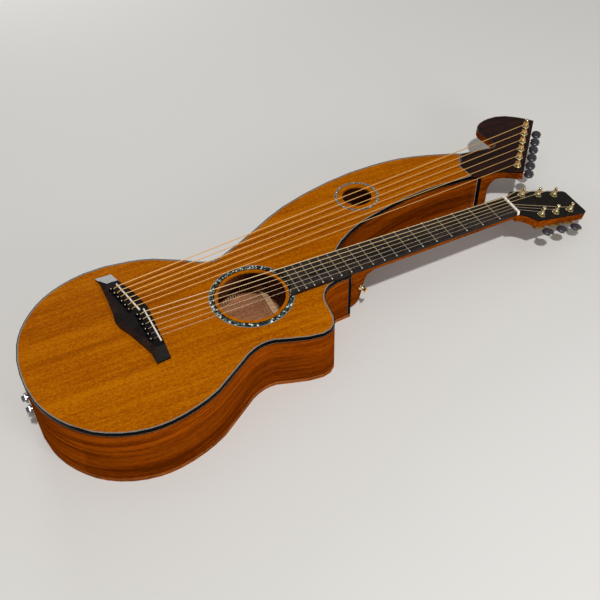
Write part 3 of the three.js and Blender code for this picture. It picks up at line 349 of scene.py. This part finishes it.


# Binding: a black celluloid strip let in round the top's edge, with the rest of the shell line on
# its inner half, grey partly as a painted highlight of the edge, and a fine line of maple below it.
# It is glued and scraped flush.
def sliced(bm, place, normal, clear=False):
    """Cuts a shape's faces where a plane of the soundboard's frame meets them. With clear, what
    lies beyond the plane is taken off and the cut is closed."""
    bmesh.ops.bisect_plane(
        bm, geom=bm.verts[:] + bm.edges[:] + bm.faces[:], dist=0.001 * mm,
        plane_co=laid @ (Vector(place) * mm), plane_no=laid.to_3x3() @ Vector(normal),
        clear_outer=clear,
    )
    if clear:
        bmesh.ops.holes_fill(bm, edges=[edge for edge in bm.edges if edge.is_boundary], sides=0)
        bmesh.ops.dissolve_limit(
            bm, angle_limit=math.radians(flat_angle), verts=bm.verts, edges=bm.edges,
        )
    bm.normal_update()


# Celluloid, rolled in sheets, glued and scraped: deep black, with hardly a shine.
celluloid = plain_finish("black_celluloid", "#040405", 0.3, gloss=0.025)

maple_level, inner_half, beside_top = -6.2, 1.05, 1.2
finishes = [celluloid, shell_line_and_highlight, maple_line]
bm = merged("top_binding")
sliced(bm, (0, 0, maple_level), (0, 0, 1))
for face in bm.faces:
    if middle(face).z < maple_level:
        face.material_index = finishes.index(maple_line)
face_up = [face for face in bm.faces if face.normal.dot(top_up) > 0.9]
# The grey on the binding's inner half is partly a painted highlight of its edge.
for face in inset(bm, face_up, inner_half):
    gap = soundboard_tree.find_nearest(face.calc_center_median())[3]
    if gap < beside_top * mm:
        face.material_index = finishes.index(shell_line_and_highlight)
add_piece("binding_dressed", "guitar", "top_binding", bm, finishes, 40)


# Rosettes: rings of abalone inlaid flush round both soundholes, glued in a routed channel, with a
# grey line outside and a black one inside, or on the arm's a grey one.
def turned(profile, steps=48):
    """A closed turned shape about Z from (radius, height) pairs in millimetres, as a bmesh."""
    bm = bmesh.new()
    points = [bm.verts.new((radius * mm, 0, height * mm)) for radius, height in profile]
    for first, second in zip(points, points[1:]):
        bm.edges.new((first, second))
    bmesh.ops.spin(
        bm, geom=bm.verts[:] + bm.edges[:], cent=(0, 0, 0), axis=(0, 0, 1), dvec=(0, 0, 0),
        angle=2 * math.pi, steps=steps, use_merge=True, use_duplicate=False,
    )
    bmesh.ops.remove_doubles(bm, verts=bm.verts, dist=0.001 * mm)
    bmesh.ops.recalc_face_normals(bm, faces=bm.faces)
    return bm


def set_on_top(bm, x, y, z=0):
    """Moves a turned shape to a place in the soundboard's frame, in millimetres."""
    place = Matrix.Translation((x * mm, y * mm, z * mm))
    bmesh.ops.transform(bm, matrix=laid @ place, verts=bm.verts)


def abalone_finish():
    """Abalone shell, cut in leaves of 2.5 mm and ground flat: grey, sea green and blue with dark
    between them, and a few painted white as glints, a painted highlight."""
    finish, shader = new_finish("abalone_shell")
    place = add_node(finish, "ShaderNodeTexCoord").outputs["Object"]
    cloud = add_node(
        finish, "ShaderNodeTexNoise", {"Vector": place, "Scale": per_metre(6), "Detail": 2.0},
    )
    leaves = add_node(
        finish, "ShaderNodeTexVoronoi",
        {"Vector": place, "Scale": per_metre(2.5), "Randomness": 1.0}, feature="F1",
    )
    split = add_node(finish, "ShaderNodeSeparateColor", {"Color": leaves.outputs["Color"]})
    # The ramp's white end is painted glint.
    hue = add_node(
        finish, "ShaderNodeValToRGB", {"Fac": split.outputs["Red"]},
        stops=[(0.0, "#0b0e0e"), (0.3, "#161c1c"), (0.5, "#293634"), (0.66, "#3f5553"),
               (0.8, "#67806f"), (0.88, "#a9b8aa"), (0.96, "#ffffff")],
    )
    shade = add_node(
        finish, "ShaderNodeMapRange",
        {"Value": cloud.outputs["Fac"], "From Min": 0.35, "From Max": 0.65,
         "To Min": 0.45, "To Max": 1.25},
    )
    mixed = add_node(
        finish, "ShaderNodeHueSaturation",
        {"Color": hue.outputs["Color"], "Value": shade.outputs["Result"]},
    )
    finish.node_tree.links.new(mixed.outputs["Color"], shader.inputs["Base Color"])
    shader.inputs["Roughness"].default_value = 0.25
    shader.inputs["Coat Weight"].default_value = 0.1
    shader.inputs["Specular IOR Level"].default_value = 0.3
    return finish


abalone = abalone_finish()
ring_low, ring_high, ring_line, ring_steps = -1.45, 0.03, 1.0, 144
finishes = [celluloid, abalone, shell_line_and_highlight]
for name, (x, y), inner, outer in rosettes:
    bm = turned([
        (inner, ring_low), (inner, ring_high), (inner + ring_line, ring_high),
        (outer - ring_line, ring_high), (outer, ring_high), (outer, ring_low), (inner, ring_low),
    ], ring_steps)
    inner_line = celluloid if name == "main_rosette" else shell_line_and_highlight
    for face in bm.faces:
        place = face.calc_center_median() / mm
        if place.z > 0:
            finish = abalone
            if place.xy.length > outer - ring_line:
                finish = shell_line_and_highlight
            elif place.xy.length < inner + ring_line:
                finish = inner_line
            face.material_index = finishes.index(finish)
    set_on_top(bm, x, y)
    add_piece(name + "_inlaid", "guitar", name, bm, finishes)


# Sides: 2.8 mm mahogany bent over a hot iron and glued to kerfed linings, red-brown under lacquer
# and bare inside. Down to 8.2 mm below the top's face they are black, which widens the binding's
# black band, and they have a black strip at the heel and head.
def faces_inside(bm, off_face=4):
    """The faces that look into the body: from just off them, the soundboard lies overhead."""
    found = []
    for face in bm.faces:
        off = face.calc_center_median() + face.normal * off_face * mm
        if face.normal.z > -0.5 and soundboard_tree.ray_cast(off, top_up)[0] is not None:
            found.append(face)
    return found


def waves_every(size):
    """A wave texture's scale for one band in this many millimetres."""
    return 2 * math.pi / 20 * per_metre(size)


def lining_finish():
    """Linden wood, sawn almost through every 5 mm so that it bends: pale, with the saw cuts painted
    dark, as the shade in them.
    """
    finish, shader = new_finish("kerfed_lining")
    place = add_node(finish, "ShaderNodeTexCoord").outputs["Object"]
    # Each saw cut is a dark band: painted shade in the slot.
    cut_shade = add_node(
        finish, "ShaderNodeTexWave", {"Vector": place, "Scale": waves_every(5)},
        bands_direction="X",
    )
    tone = add_node(
        finish, "ShaderNodeValToRGB", {"Fac": cut_shade.outputs["Fac"]},
        stops=[(0.15, "#20120a"), (0.35, "#b58f68")],
    )
    finish.node_tree.links.new(tone.outputs["Color"], shader.inputs["Base Color"])
    shader.inputs["Roughness"].default_value = 0.8
    return finish


kerfed_lining = lining_finish()
# Mahogany, bent, stained red-brown and sprayed with a lacquer that is rubbed dull: fine streaks run
# round the side, deep in colour, with no shine over them.
side_mahogany = wood_finish(
    "lacquered_side_mahogany", ("#a04b06", "#863b04", "#682a02"), squeeze=(0.05, 0.05, 1.0),
    widths=(22, 6, 2.4, 1.1), pore_share=0.12, roughness=0.3, gloss=0.0, fleck_share=0.2,
)
# Mahogany, sanded and left bare inside: pinkish brown with fine pores and no gloss.
bare_mahogany = wood_finish(
    "bare_mahogany", ("#cd9670", "#b77e58", "#986341"), squeeze=(0.05, 1.0, 1.0),
    widths=(30, 3, 1.6, 1.1), pore_share=0.25, roughness=0.75,
)
# Dark wood veneer, sliced thin: the line beside the heel's black strip hardly shows.
dark_line = plain_finish("dark_veneer_line", "#4a352c", 0.5, gloss=0.2)

strip, strip_line, black_level, lining_height = 4.5, 0.8, -8.2, 20
arm_end_x = 8.75
# Where each side ends, which way its strip runs from there, and the line beside the strip.
side_ends = {
    "side_treble": (heel_x, -1, dark_line),
    "side_bass": (arm_end_x, -1, maple_line),
    "side_arm_inner": (heel_x, 1, dark_line),
}
finishes = [side_mahogany, bare_mahogany, celluloid, maple_line, dark_line, kerfed_lining]
for name, (end, way, beside_strip) in side_ends.items():
    bm = merged(name)
    for wide in (strip, strip + strip_line):
        sliced(bm, (end + way * wide, 0, 0), (1, 0, 0))
    sliced(bm, (0, 0, black_level), (0, 0, 1))
    inner = set(faces_inside(bm))
    for face in bm.faces:
        # Above black_level the side is black, which widens the binding's band.
        if middle(face).z > black_level:
            face.material_index = finishes.index(celluloid)
        reach = (middle(face).x - end) * way
        if reach < strip + strip_line:
            face.material_index = finishes.index(celluloid if reach < strip else beside_strip)
        if face in inner:
            levels = [v.co.z for v in face.verts]
            tall = max(levels) - min(levels) > lining_height * mm
            face.material_index = finishes.index(bare_mahogany if tall else kerfed_lining)
    add_piece(name + "_bent", "guitar", name, bm, finishes, 50)

# Back: a flat mahogany plate glued on the linings, with four ladder braces of spruce inside. Its
# edge is scraped to the sides and painted a shade paler, as a highlight along it. The block at the
# tail is bare mahogany.

# Mahogany, scraped at the edge and lacquered, painted paler than the sides: a painted highlight
# along the back's edge.
painted_highlight_edge_mahogany = wood_finish(
    "lacquered_mahogany_painted_edge_highlight", ("#a65c22", "#8a4814", "#6c340a"), squeeze=(0.2, 0.2, 1.0),
    widths=(16, 3, 1.6, 1.1), pore_share=0.3, roughness=0.35, gloss=0.0,
)
plate_rise = 4
finishes = [side_mahogany, bare_mahogany, painted_highlight_edge_mahogany, bare_spruce]
bm = merged("back")
for face in bm.faces:
    if face.calc_center_median().z > plate_rise * mm:
        face.material_index = finishes.index(bare_spruce)
    elif face.normal.z > 0.5:
        face.material_index = finishes.index(bare_mahogany)
    elif abs(face.normal.z) < 0.5:
        # The plate's edge gets the paler colour, a painted highlight.
        face.material_index = finishes.index(painted_highlight_edge_mahogany)
add_piece("back_plate", "guitar", "back", bm, finishes, 40)
nodes["tail_block"].data.materials.clear()
nodes["tail_block"].data.materials.append(bare_mahogany)

# Neck: one piece of mahogany carved with its heel and head, glued in the body by a block that is
# bare inside, and lacquered like the rest.

# Mahogany, carved, stained and lacquered: orange-brown, with streaks that run along the neck.
neck_mahogany = wood_finish(
    "lacquered_neck_mahogany", ("#964708", "#783604", "#562302"), squeeze=(0.06, 1.0, 1.0),
    widths=(18, 4, 1.8, 1.1), pore_share=0.2, roughness=0.32, gloss=0.0,
)
finishes = [neck_mahogany, bare_mahogany]
bm = merged("neck")
for face in faces_inside(bm):
    face.material_index = finishes.index(bare_mahogany)
add_piece("neck_carved", "guitar", "neck", bm, finishes, 40)

# The arm's head: a mahogany block glued in the end of the hollow arm and carved into a throat below
# and a hooked horn. A black strip with a shell line beside it covers the joint.
# The strip is on the block's inner flank, below this y. On the outer flank it is on the side.
strip_start, strip_end, shell_wide, inner_flank_y = 2.4, 8.6, 0.8, 130
seam_start, seam_end, seam_reach, seam_gap = -8, -6.9, 104, 0.28
finishes = [neck_mahogany, bare_mahogany, celluloid, shell_line_and_highlight, side_mahogany]
bm = merged("arm_head")
for x in (strip_start - shell_wide, strip_start, strip_end):
    sliced(bm, (x, 0, 0), (1, 0, 0))
sliced(bm, (0, 0, black_level), (0, 0, 1))
# The block's edge moves back against the side's end, which closes a fine seam.
for v in bm.verts:
    place = on_top(v.co)
    if seam_start < place.x < seam_end and place.y < seam_reach:
        v.co -= laid.to_3x3() @ Vector((seam_gap * mm, 0, 0))
inner = set(faces_inside(bm))
for face in bm.faces:
    place = middle(face)
    upright = abs(face.normal.dot(top_up)) < 0.8
    if face in inner:
        face.material_index = finishes.index(bare_mahogany)
    elif place.x < strip_end and place.y < inner_flank_y and upright:
        finish = celluloid
        # Before the strip the flank is black only above black_level, like the sides' widened band.
        if place.x < strip_start and place.z < black_level:
            finish = shell_line_and_highlight if place.x > strip_start - shell_wide else side_mahogany
        face.material_index = finishes.index(finish)
add_piece("arm_head_carved", "guitar", "arm_head", bm, finishes, 40)

# Face plates of both heads: ebony on the guitar's and rosewood on the arm's, glued on and bevelled
# to the edge, where a fine shell line is let in along the far side of each. It lies only where that
# edge catches the light, so it is partly a painted highlight.

# Ebony, planed, stained even and polished: nearly black, with hardly any grain.
ebony_plate = wood_finish(
    "lacquered_ebony_plate", ("#17110e", "#0f0b09", "#090706"), squeeze=(0.05, 1.0, 1.0),
    widths=(14, 2, 1.5, 1.1), pore_share=0.3, roughness=0.3, gloss=0.07,
)
# Rosewood, planed and lacquered: dark red-brown with darker streaks along it.
rosewood_plate = wood_finish(
    "lacquered_rosewood_plate", ("#32140c", "#200c08", "#110605"), squeeze=(0.05, 1.0, 1.0),
    widths=(12, 2, 1.5, 1.1), pore_share=0.4, roughness=0.3, gloss=0.15,
)
# Grey shell, ground flush and then stained with the wood beside it: a dim line, partly a painted
# highlight of the far edge.
dim_shell_line_and_highlight = plain_finish("stained_shell_line_and_highlight", "#7a7268", 0.35, spread=0.2, grain=3, gloss=0.2)
plate_line = 1.0
for name, finish in (("head_veneer", ebony_plate), ("arm_head_veneer", rosewood_plate)):
    finishes = [finish, dim_shell_line_and_highlight]
    bm = merged(name)
    largest = max(bm.faces, key=lambda face: face.calc_area() * (face.normal.z > 0.5))
    across_face = largest.normal.copy()
    face_place = largest.calc_center_median()
    level = [
        face for face in bm.faces
        if face.normal.dot(across_face) > 0.999
        and abs((face.calc_center_median() - face_place).dot(across_face)) < 0.1 * mm
    ]
    # Only the far edge gets the line, partly a painted highlight there.
    for face in inset(bm, level, plate_line):
        beside = [other for edge in face.edges for other in edge.link_faces]
        if any(other.normal.y > 0.1 for other in beside):
            face.material_index = finishes.index(dim_shell_line_and_highlight)
    add_piece(name + "_plate", "guitar", name, bm, finishes, 40)

# Fretboard: ebony, 6 mm thick, glued on the neck and over the top as far as the soundhole, with
# eighteen nickel silver frets pressed in and small pearl dots let in flush.

# Ebony, planed and rubbed with oil: dark grey-brown, with fine pores and a dull sheen.
oiled_ebony = wood_finish(
    "oiled_ebony", ("#3a322c", "#2a2421", "#1a1614"), squeeze=(0.05, 1.0, 1.0),
    widths=(14, 2, 1.5, 1.1), pore_share=0.4, roughness=0.42,
)
board_top, shaving = 6.4, 0.02
bm = merged("fretboard")
sliced(bm, (0, 0, board_top + shaving), (0, 0, 1), clear=True)
add_piece("fretboard_planed", "guitar", "fretboard", bm, [oiled_ebony], 30)


def block(x, y, z, width, depth, height):
    """A box in millimetres in the soundboard's frame, centred on x and y, standing on z."""
    bm = bmesh.new()
    place = Matrix.Translation((x * mm, y * mm, (z + height / 2) * mm))
    size = Matrix.Diagonal((width * mm, depth * mm, height * mm, 1))
    bmesh.ops.create_cube(bm, size=1, matrix=laid @ place @ size)
    return bm


def soften(bm, edges, radius, segments=2):
    """Rounds edges to a radius in millimetres."""
    bmesh.ops.bevel(
        bm, geom=edges, offset=radius * mm, offset_type="OFFSET", segments=segments, profile=0.5,
        affect="EDGES", clamp_overlap=True, material=-1,
    )
    bm.normal_update()


def fret_x(number):
    """Where a fret lies: each is a twelfth of an octave on, and the twelfth halves the string."""
    return -scale_length * (1 - 2 ** (-number / 12))


# Nickel silver, drawn as wire, pressed in and filed: a soft grey shine with fine scratches.
nickel_silver = plain_finish("nickel_silver", "#d0cbba", 0.32, metallic=1.0)
# Its ends are filed round and polished, and painted paler and less metallic than the rest: a
# painted highlight, a small bead on each end.
painted_bead_end = plain_finish("nickel_silver_painted_bead", "#f4f1ea", 0.3, metallic=0.6)
fret_count, fret_width, fret_rise, fret_root = 18, 1.8, 1.0, 0.3
crown_radius, end_length = 0.7, 1.6
nut_width, joint_width = 46, 56
finishes = [nickel_silver, painted_bead_end]
for number in range(1, fret_count + 1):
    x = fret_x(number)
    width = nut_width + (joint_width - nut_width) * x / heel_x
    bm = block(x, 0, board_top - fret_root, fret_width, width, fret_rise + fret_root)
    crown = [edge for edge in bm.edges if all(on_top(v.co).z > board_top for v in edge.verts)]
    soften(bm, crown, crown_radius, 4)
    for side in (-1, 1):
        sliced(bm, (0, side * (width / 2 - end_length), 0), (0, 1, 0))
    # The fret ends get the paler colour, a painted highlight.
    for face in bm.faces:
        if abs(middle(face).y) > width / 2 - end_length:
            face.material_index = finishes.index(painted_bead_end)
    add_piece(f"fret_{number}", "guitar", None, bm, finishes, 50)

# Pearl, sawn in small discs and sanded dull with the board: grey with faint clouds.
pearl = plain_finish("mother_of_pearl", "#7b8084", 0.3, spread=0.2, grain=1.1, gloss=0.2)
dot_radius, dot_low, dot_high = 1.6, -0.6, 0.06
for number in (3, 5, 7, 9, 12, 15):
    x = (fret_x(number) + fret_x(number - 1)) / 2
    bm = turned([(0, dot_low), (dot_radius, dot_low), (dot_radius, dot_high), (0, dot_high)], 32)
    set_on_top(bm, x, 0, board_top)
    add_piece(f"dot_{number}", "guitar", None, bm, [pearl])

# Nut and saddles: bone, sawn, filed and polished. The nut is glued at the board's end, and the
# saddles stand loose in slots in the bridge.

# Bone, polished: warm white with faint clouds and a soft shine.
bone = plain_finish("polished_bone", "#f6f1e2", 0.35, spread=0.04, grain=4, gloss=0.3)
bone_round, corner_angle = 0.25, 30
for name in ("nut", "guitar_saddle", "harp_saddle"):
    bm = merged(name)
    corners = [
        edge for edge in bm.edges
        if len(edge.link_faces) == 2 and edge.calc_face_angle() > math.radians(corner_angle)
    ]
    soften(bm, corners, bone_round)
    add_piece(name + "_polished", "guitar", name, bm, [bone])

# Bridge: one ebony block with a flat top, a sloped belly behind and a thinned wing at each end,
# glued on the top. Twelve black pins with small pearl dots wedge the strings in their holes.

# Ebony, planed and rubbed smooth: black, with a soft shine.
rubbed_ebony = wood_finish(
    "rubbed_ebony", ("#17110f", "#0f0b0a", "#080606"), squeeze=(0.3, 1.0, 1.0),
    widths=(14, 2, 1.5, 1.1), pore_share=0.4, roughness=0.32, gloss=0.15,
)
# Ebony on the belly's slope, scraped across the grain: its trace of brown in the black is a
# painted reflection of the orange top.
ebony_painted_top_reflection = wood_finish(
    "ebony_painted_top_reflection", ("#33201a", "#221511", "#120b09"), squeeze=(0.3, 1.0, 1.0),
    widths=(14, 2, 1.5, 1.1), pore_share=0.4, roughness=0.36, gloss=0.15,
)
# Ebony on the wings, scraped thin and buffed with wax: it mirrors a lamp softly.
polished_ebony = wood_finish(
    "polished_ebony", ("#1d1512", "#140f0d", "#0b0807"), squeeze=(0.3, 1.0, 1.0),
    widths=(14, 2, 1.5, 1.1), pore_share=0.4, roughness=0.32, gloss=0.45,
)
# Pearl, turned in small discs and ground flush: a warm pale dot in the pin's head.
dot_shell = plain_finish("pin_dot_shell", "#e4dac4", 0.3, spread=0.08, grain=1.1, gloss=0.2)

# A face's rise is 1 where it lies level with the soundboard. The belly is the steeper slope.
bridge_top, steepest, belly_limit, level_limit = 9.3, 0.3, 0.95, 0.99
finishes = [rubbed_ebony, ebony_painted_top_reflection, polished_ebony]
bm = merged("bridge")
sliced(bm, (0, 0, bridge_top + shaving), (0, 0, 1), clear=True)
for face in bm.faces:
    rise = face.normal.dot(top_up)
    # The belly's slope gets the brown, a painted reflection of the top.
    if steepest < rise < level_limit:
        finish = ebony_painted_top_reflection if rise < belly_limit else polished_ebony
        face.material_index = finishes.index(finish)
add_piece("bridge_carved", "guitar", "bridge", bm, finishes, 25)

# Each saddle has its middle, its turn in degrees and the spread of its six strings.
saddles = [("guitar", -636.4, 0.0, 2.95, 55.95), ("harp", -652.3, 71.136, 13.1, 54.9)]
pin_setback, pin_dot, pin_dot_level = 12.5, 0.85, 2.4
finishes = [celluloid, dot_shell]
for name, saddle_x, saddle_y, turn, spread in saddles:
    for i in range(6):
        across = spread / 2 - i * spread / 5
        x = saddle_x - across * math.sin(math.radians(turn)) - pin_setback
        y = saddle_y + across * math.cos(math.radians(turn))
        bm = turned([
            (0, -2), (2.6, -2), (2.9, 0), (3.7, 0.35), (3.8, 1.0), (3.4, 1.7), (2.5, 2.25),
            (pin_dot, 2.5), (0, 2.52),
        ], 32)
        for face in bm.faces:
            place = face.calc_center_median() / mm
            if place.z > pin_dot_level and place.xy.length < pin_dot:
                face.material_index = finishes.index(dot_shell)
        set_on_top(bm, x, y, bridge_top)
        add_piece(f"{name}_pin_{i + 1}", "guitar", None, bm, finishes, 50)

# Tuners: open-back machines with gilt posts, plates and shafts. A worm on the button's shaft turns
# a wheel on the post, and each button is a black oval held by a small gilt screw.

# Brass, turned and polished, plated with pale gold: bright, warm reflections.
gilt = plain_finish("gold_plate", "#f8e8b4", 0.16, metallic=1.0)
# The same plate on stamped brass, tumbled dull and painted a dark gold: painted shade under the head.
gilt_painted_shade = plain_finish("gold_plate_painted_shade", "#9a7c48", 0.5, metallic=1.0)
# Plastic, moulded and tumbled: greyish black with a soft shine.
button_plastic = plain_finish("black_button", "#323137", 0.25, coat=0.1)


def frame_on(place, axis, side):
    """A matrix whose Z runs along axis and whose X is nearest to side."""
    z = Vector(axis).normalized()
    x = (Vector(side) - z * Vector(side).dot(z)).normalized()
    turn = Matrix((x, z.cross(x), z)).transposed().to_4x4()
    return Matrix.Translation(place) @ turn


def add_shape(bm, other):
    """Adds another shape's faces to a shape."""
    joined = bpy.data.meshes.new("joined")
    other.to_mesh(joined)
    other.free()
    bm.from_mesh(joined)
    bpy.data.meshes.remove(joined)


wheel_radius, wheel_half, stem_radius, button_flatness = 5.8, 2.2, 2.95, 0.45
tuners = [f"{side}_{i}" for side in ("bass", "treble") for i in range(1, 4)]
tuners += [f"harp_{i}" for i in range(1, 7)]
for key in tuners:
    post = joints["post_turn_" + key]
    button = joints["button_turn_" + key]
    post_axis = Vector(post["axis"])
    shaft_axis = Vector(button["axis"])
    post_foot = Vector(post["pos_m"])
    post_place = frame_on(post["pos_m"], post_axis, shaft_axis)
    depth = (Vector(button["pos_m"]) - post_foot).dot(post_axis) / mm
    cad_post = nodes["tuner_post_" + key].data.vertices
    rise = max((v.co - post_foot).dot(post_axis) for v in cad_post) / mm
    bm = turned([
        (0, depth - wheel_half), (wheel_radius, depth - wheel_half),
        (wheel_radius, depth + wheel_half), (stem_radius, depth + wheel_half), (stem_radius, 4.4),
        (2.55, 4.9), (2.3, 5.8), (2.25, 9.4), (2.4, 10.6), (2.85, 11.6), (3.0, 12.4),
        (3.0, rise - 1.1), (2.7, rise - 0.4), (2.1, rise - 0.05), (0, rise),
    ], 40)
    bmesh.ops.transform(bm, matrix=post_place, verts=bm.verts)
    add_piece(f"post_{key}", "tuner_post_" + key, "tuner_post_" + key, bm, [gilt], 40)

    ring = turned([
        (3.7, 0.32), (6.4, 0.32), (6.7, 0.5), (6.5, 0.8), (5.8, 0.9), (3.7, 0.9), (3.7, 0.32),
    ], 40)
    bmesh.ops.transform(ring, matrix=post_place, verts=ring.verts)
    add_piece(f"washer_{key}", "guitar", None, ring, [gilt], 40)

    finishes = [gilt, button_plastic]
    bm = turned([
        (0, -5), (2.2, -5), (2.2, 5), (1.5, 5), (1.5, 10.6), (2.2, 10.8), (2.6, 11.4), (2.6, 12.4),
        (2.2, 13.0), (2.1, 13.8), (2.1, 31.3), (1.9, 32.0), (1.2, 32.35), (0, 32.35),
    ], 32)
    oval = turned([
        (0, 13.7), (3.4, 13.75), (5.4, 14.4), (8.6, 16.5), (10.6, 19.2), (11.3, 21.8),
        (10.9, 25.0), (9.6, 28.0), (7.2, 30.1), (4.0, 31.05), (0, 31.2),
    ], 40)
    bmesh.ops.scale(oval, vec=(1, button_flatness, 1), verts=oval.verts)
    for face in oval.faces:
        face.material_index = finishes.index(button_plastic)
    add_shape(bm, oval)
    shaft_place = frame_on(button["pos_m"], shaft_axis, shaft_axis.cross(post_axis))
    bmesh.ops.transform(bm, matrix=shaft_place, verts=bm.verts)
    node = "tuner_button_" + key
    add_piece(f"button_{key}", node, node, bm, finishes, 40)

# The tuners' plates, with their housings, bushes and hex nuts: stamped brass, screwed to the back
# of each head and plated like the posts. What lies below the head's face is painted a dark dull
# gold, as painted shade under the head.
finishes = [gilt, gilt_painted_shade]
for side in ("bass", "treble", "harp"):
    post = joints[f"post_turn_{side}_1"]
    node = "tuner_plate_" + side
    bm = merged(node)
    for face in bm.faces:
        off_face = face.calc_center_median() - Vector(post["pos_m"])
        # Below the head's face the gold is painted dark, as shade.
        if off_face.dot(Vector(post["axis"])) < 0:
            face.material_index = finishes.index(gilt_painted_shade)
    add_piece(node + "_gilt", "guitar", node, bm, finishes, 30)


# Strings: bronze wire wound on steel on the harp side and on the guitar's four lower courses, plain
# steel on the two highest. Each comes up beside its pin, over its saddle and round its post.
def centre_line(node, sides=5):
    """The middle of each ring of a CAD string, from its bridge end to its post. A ring's points are
    taken in the mesh's order, so that each run gives the same middle to the last digit."""
    bm = bmesh.new()
    bm.from_mesh(nodes[node].data)
    bmesh.ops.remove_doubles(bm, verts=bm.verts, dist=weld * mm)
    bm.verts.index_update()
    ring = sorted(bm.verts, key=lambda v: v.co.x)[:sides]
    seen = set(ring)
    centres = []
    while ring:
        centres.append(sum((v.co for v in ring), Vector()) / len(ring))
        near = {edge.other_vert(v) for v in ring for edge in v.link_edges}
        ring = sorted(near - seen, key=lambda v: v.index)
        seen.update(ring)
    bm.free()
    return centres


def wound_finish(name, hex_colour):
    """Bronze wire wound on steel: warm and golden, with a turn every 0.3 mm on the real string. The
    turns are drawn 0.9 mm apart, so that they show, with painted shade in the groove between turns.
    They scatter the light, so it is half matt."""
    finish, shader = new_finish(name)
    place = add_node(finish, "ShaderNodeTexCoord").outputs["Object"]
    turns = add_node(
        finish, "ShaderNodeTexWave", {"Vector": place, "Scale": waves_every(0.9)},
        bands_direction="X",
    )
    # Between turns the colour is a quarter darker: painted shade in the groove.
    groove_shade_colour = [c * 0.75 for c in linear(hex_colour)[:3]] + [1]
    tint = add_node(
        finish, "ShaderNodeMix",
        {"Factor": turns.outputs["Fac"], "A": groove_shade_colour, "B": linear(hex_colour)},
        data_type="RGBA",
    )
    bump = add_node(
        finish, "ShaderNodeBump",
        {"Height": turns.outputs["Fac"], "Strength": 0.4, "Distance": 0.1 * mm},
    )
    finish.node_tree.links.new(tint.outputs["Result"], shader.inputs["Base Color"])
    finish.node_tree.links.new(bump.outputs["Normal"], shader.inputs["Normal"])
    shader.inputs["Metallic"].default_value = 0.5
    shader.inputs["Roughness"].default_value = 0.5
    return finish


# The arm's strings are wound with a warm phosphor bronze, and the guitar's with a paler bronze.
# Their gold is pushed towards orange, partly a painted reflection of the top under them.
bronze = wound_finish("bronze_wound_wire", "#ecb970")
pale_bronze = wound_finish("pale_bronze_wound_wire", "#e8ca98")
# Steel, drawn to wire and tinned: an even grey shine, painted a little warm as a reflection of
# the wood under it.
steel = plain_finish("plain_steel_wire_painted_warm", "#ccb99e", 0.45, metallic=0.7)
guitar_gauges = {
    "string_6": 1.35, "string_5": 1.06, "string_4": 0.8, "string_3": 0.6, "string_2": 0.5,
    "string_1": 0.42,
}
harp_gauges = {
    "harp_string_1": 1.6, "harp_string_2": 1.45, "harp_string_3": 1.35, "harp_string_4": 1.25,
    "harp_string_5": 1.15, "harp_string_6": 1.06,
}
end_back, end_down = 1.6, 4
for name, gauge in {**guitar_gauges, **harp_gauges}.items():
    on_harp = name in harp_gauges
    path = centre_line(name)
    end = on_top(path[0])
    buried = laid @ (Vector((end.x - end_back, end.y, end.z - end_down)) * mm)
    # At its first knots a string bends sharply: at pin and saddle, and on the guitar at the nut.
    sharp_knots = 2 if on_harp else 4
    curve = bpy.data.curves.new(name + "_wire", "CURVE")
    curve.dimensions = "3D"
    curve.bevel_depth = gauge / 2 * mm
    curve.bevel_resolution = 2
    curve.resolution_u = 3
    curve.use_fill_caps = True
    spline = curve.splines.new("BEZIER")
    points = [buried] + path
    spline.bezier_points.add(len(points) - 1)
    for i, (knot, place) in enumerate(zip(spline.bezier_points, points)):
        knot.co = place
        kind = "VECTOR" if i <= sharp_knots else "AUTO"
        knot.handle_left_type = kind
        knot.handle_right_type = kind
    curve_object = bpy.data.objects.new(name + "_curve", curve)
    bpy.context.scene.collection.objects.link(curve_object)
    bpy.context.view_layer.update()
    evaluated = curve_object.evaluated_get(bpy.context.evaluated_depsgraph_get())
    tube = bpy.data.meshes.new_from_object(evaluated)
    bm = bmesh.new()
    bm.from_mesh(tube)
    bpy.data.objects.remove(curve_object)
    if name in ("string_1", "string_2"):
        slot, finish = "plain_string", steel
    else:
        slot, finish = "wound_string", bronze if on_harp else pale_bronze
    add_piece(name + "_wire", "guitar", name, bm, [finish], 60)

# Strap button: a turned brass knob with the tuners' gold plate. A screw through its middle holds it
# on the heel's treble flank.
bm = merged("strap_button")
add_piece("strap_button_gilt", "guitar", "strap_button", bm, [gilt], 50)

# Output jacks: two nickel-plated sockets, each put through the tail from inside and held by a
# washer and a hex nut.

# Brass, turned and nickel plated: a clear cool shine that mirrors light and dark.
nickel = plain_finish("bright_nickel", "#85868a", 0.24, metallic=1.0)
jack_side = -21
out_of_tail = Matrix.Rotation(-math.pi / 2, 4, "Y")
for name, depth in (("output_jack_upper", 29), ("output_jack_lower", 56)):
    at_tail = Matrix.Translation((tail_x * mm, jack_side * mm, -depth * mm))
    bm = turned([
        (0, -15), (3.2, -15), (3.2, 7.7), (3.6, 8.0), (4.3, 8.0), (4.6, 7.6), (4.6, 1.1),
        (8.1, 1.1), (8.4, 0.8), (8.4, 0.3), (4.6, 0.3), (4.6, -24.3), (7, -24.3), (7, -30), (0, -30),
    ], 48)
    hex_nut = turned([
        (4.7, 1.2), (7.0, 1.2), (7.6, 1.6), (7.6, 3.2), (7.0, 3.7), (4.7, 3.7), (4.7, 1.2),
    ], 6)
    add_shape(bm, hex_nut)
    bmesh.ops.transform(bm, matrix=laid @ (at_tail @ out_of_tail), verts=bm.verts)
    add_piece(name + "_turned", "guitar", name, bm, [nickel], 40)
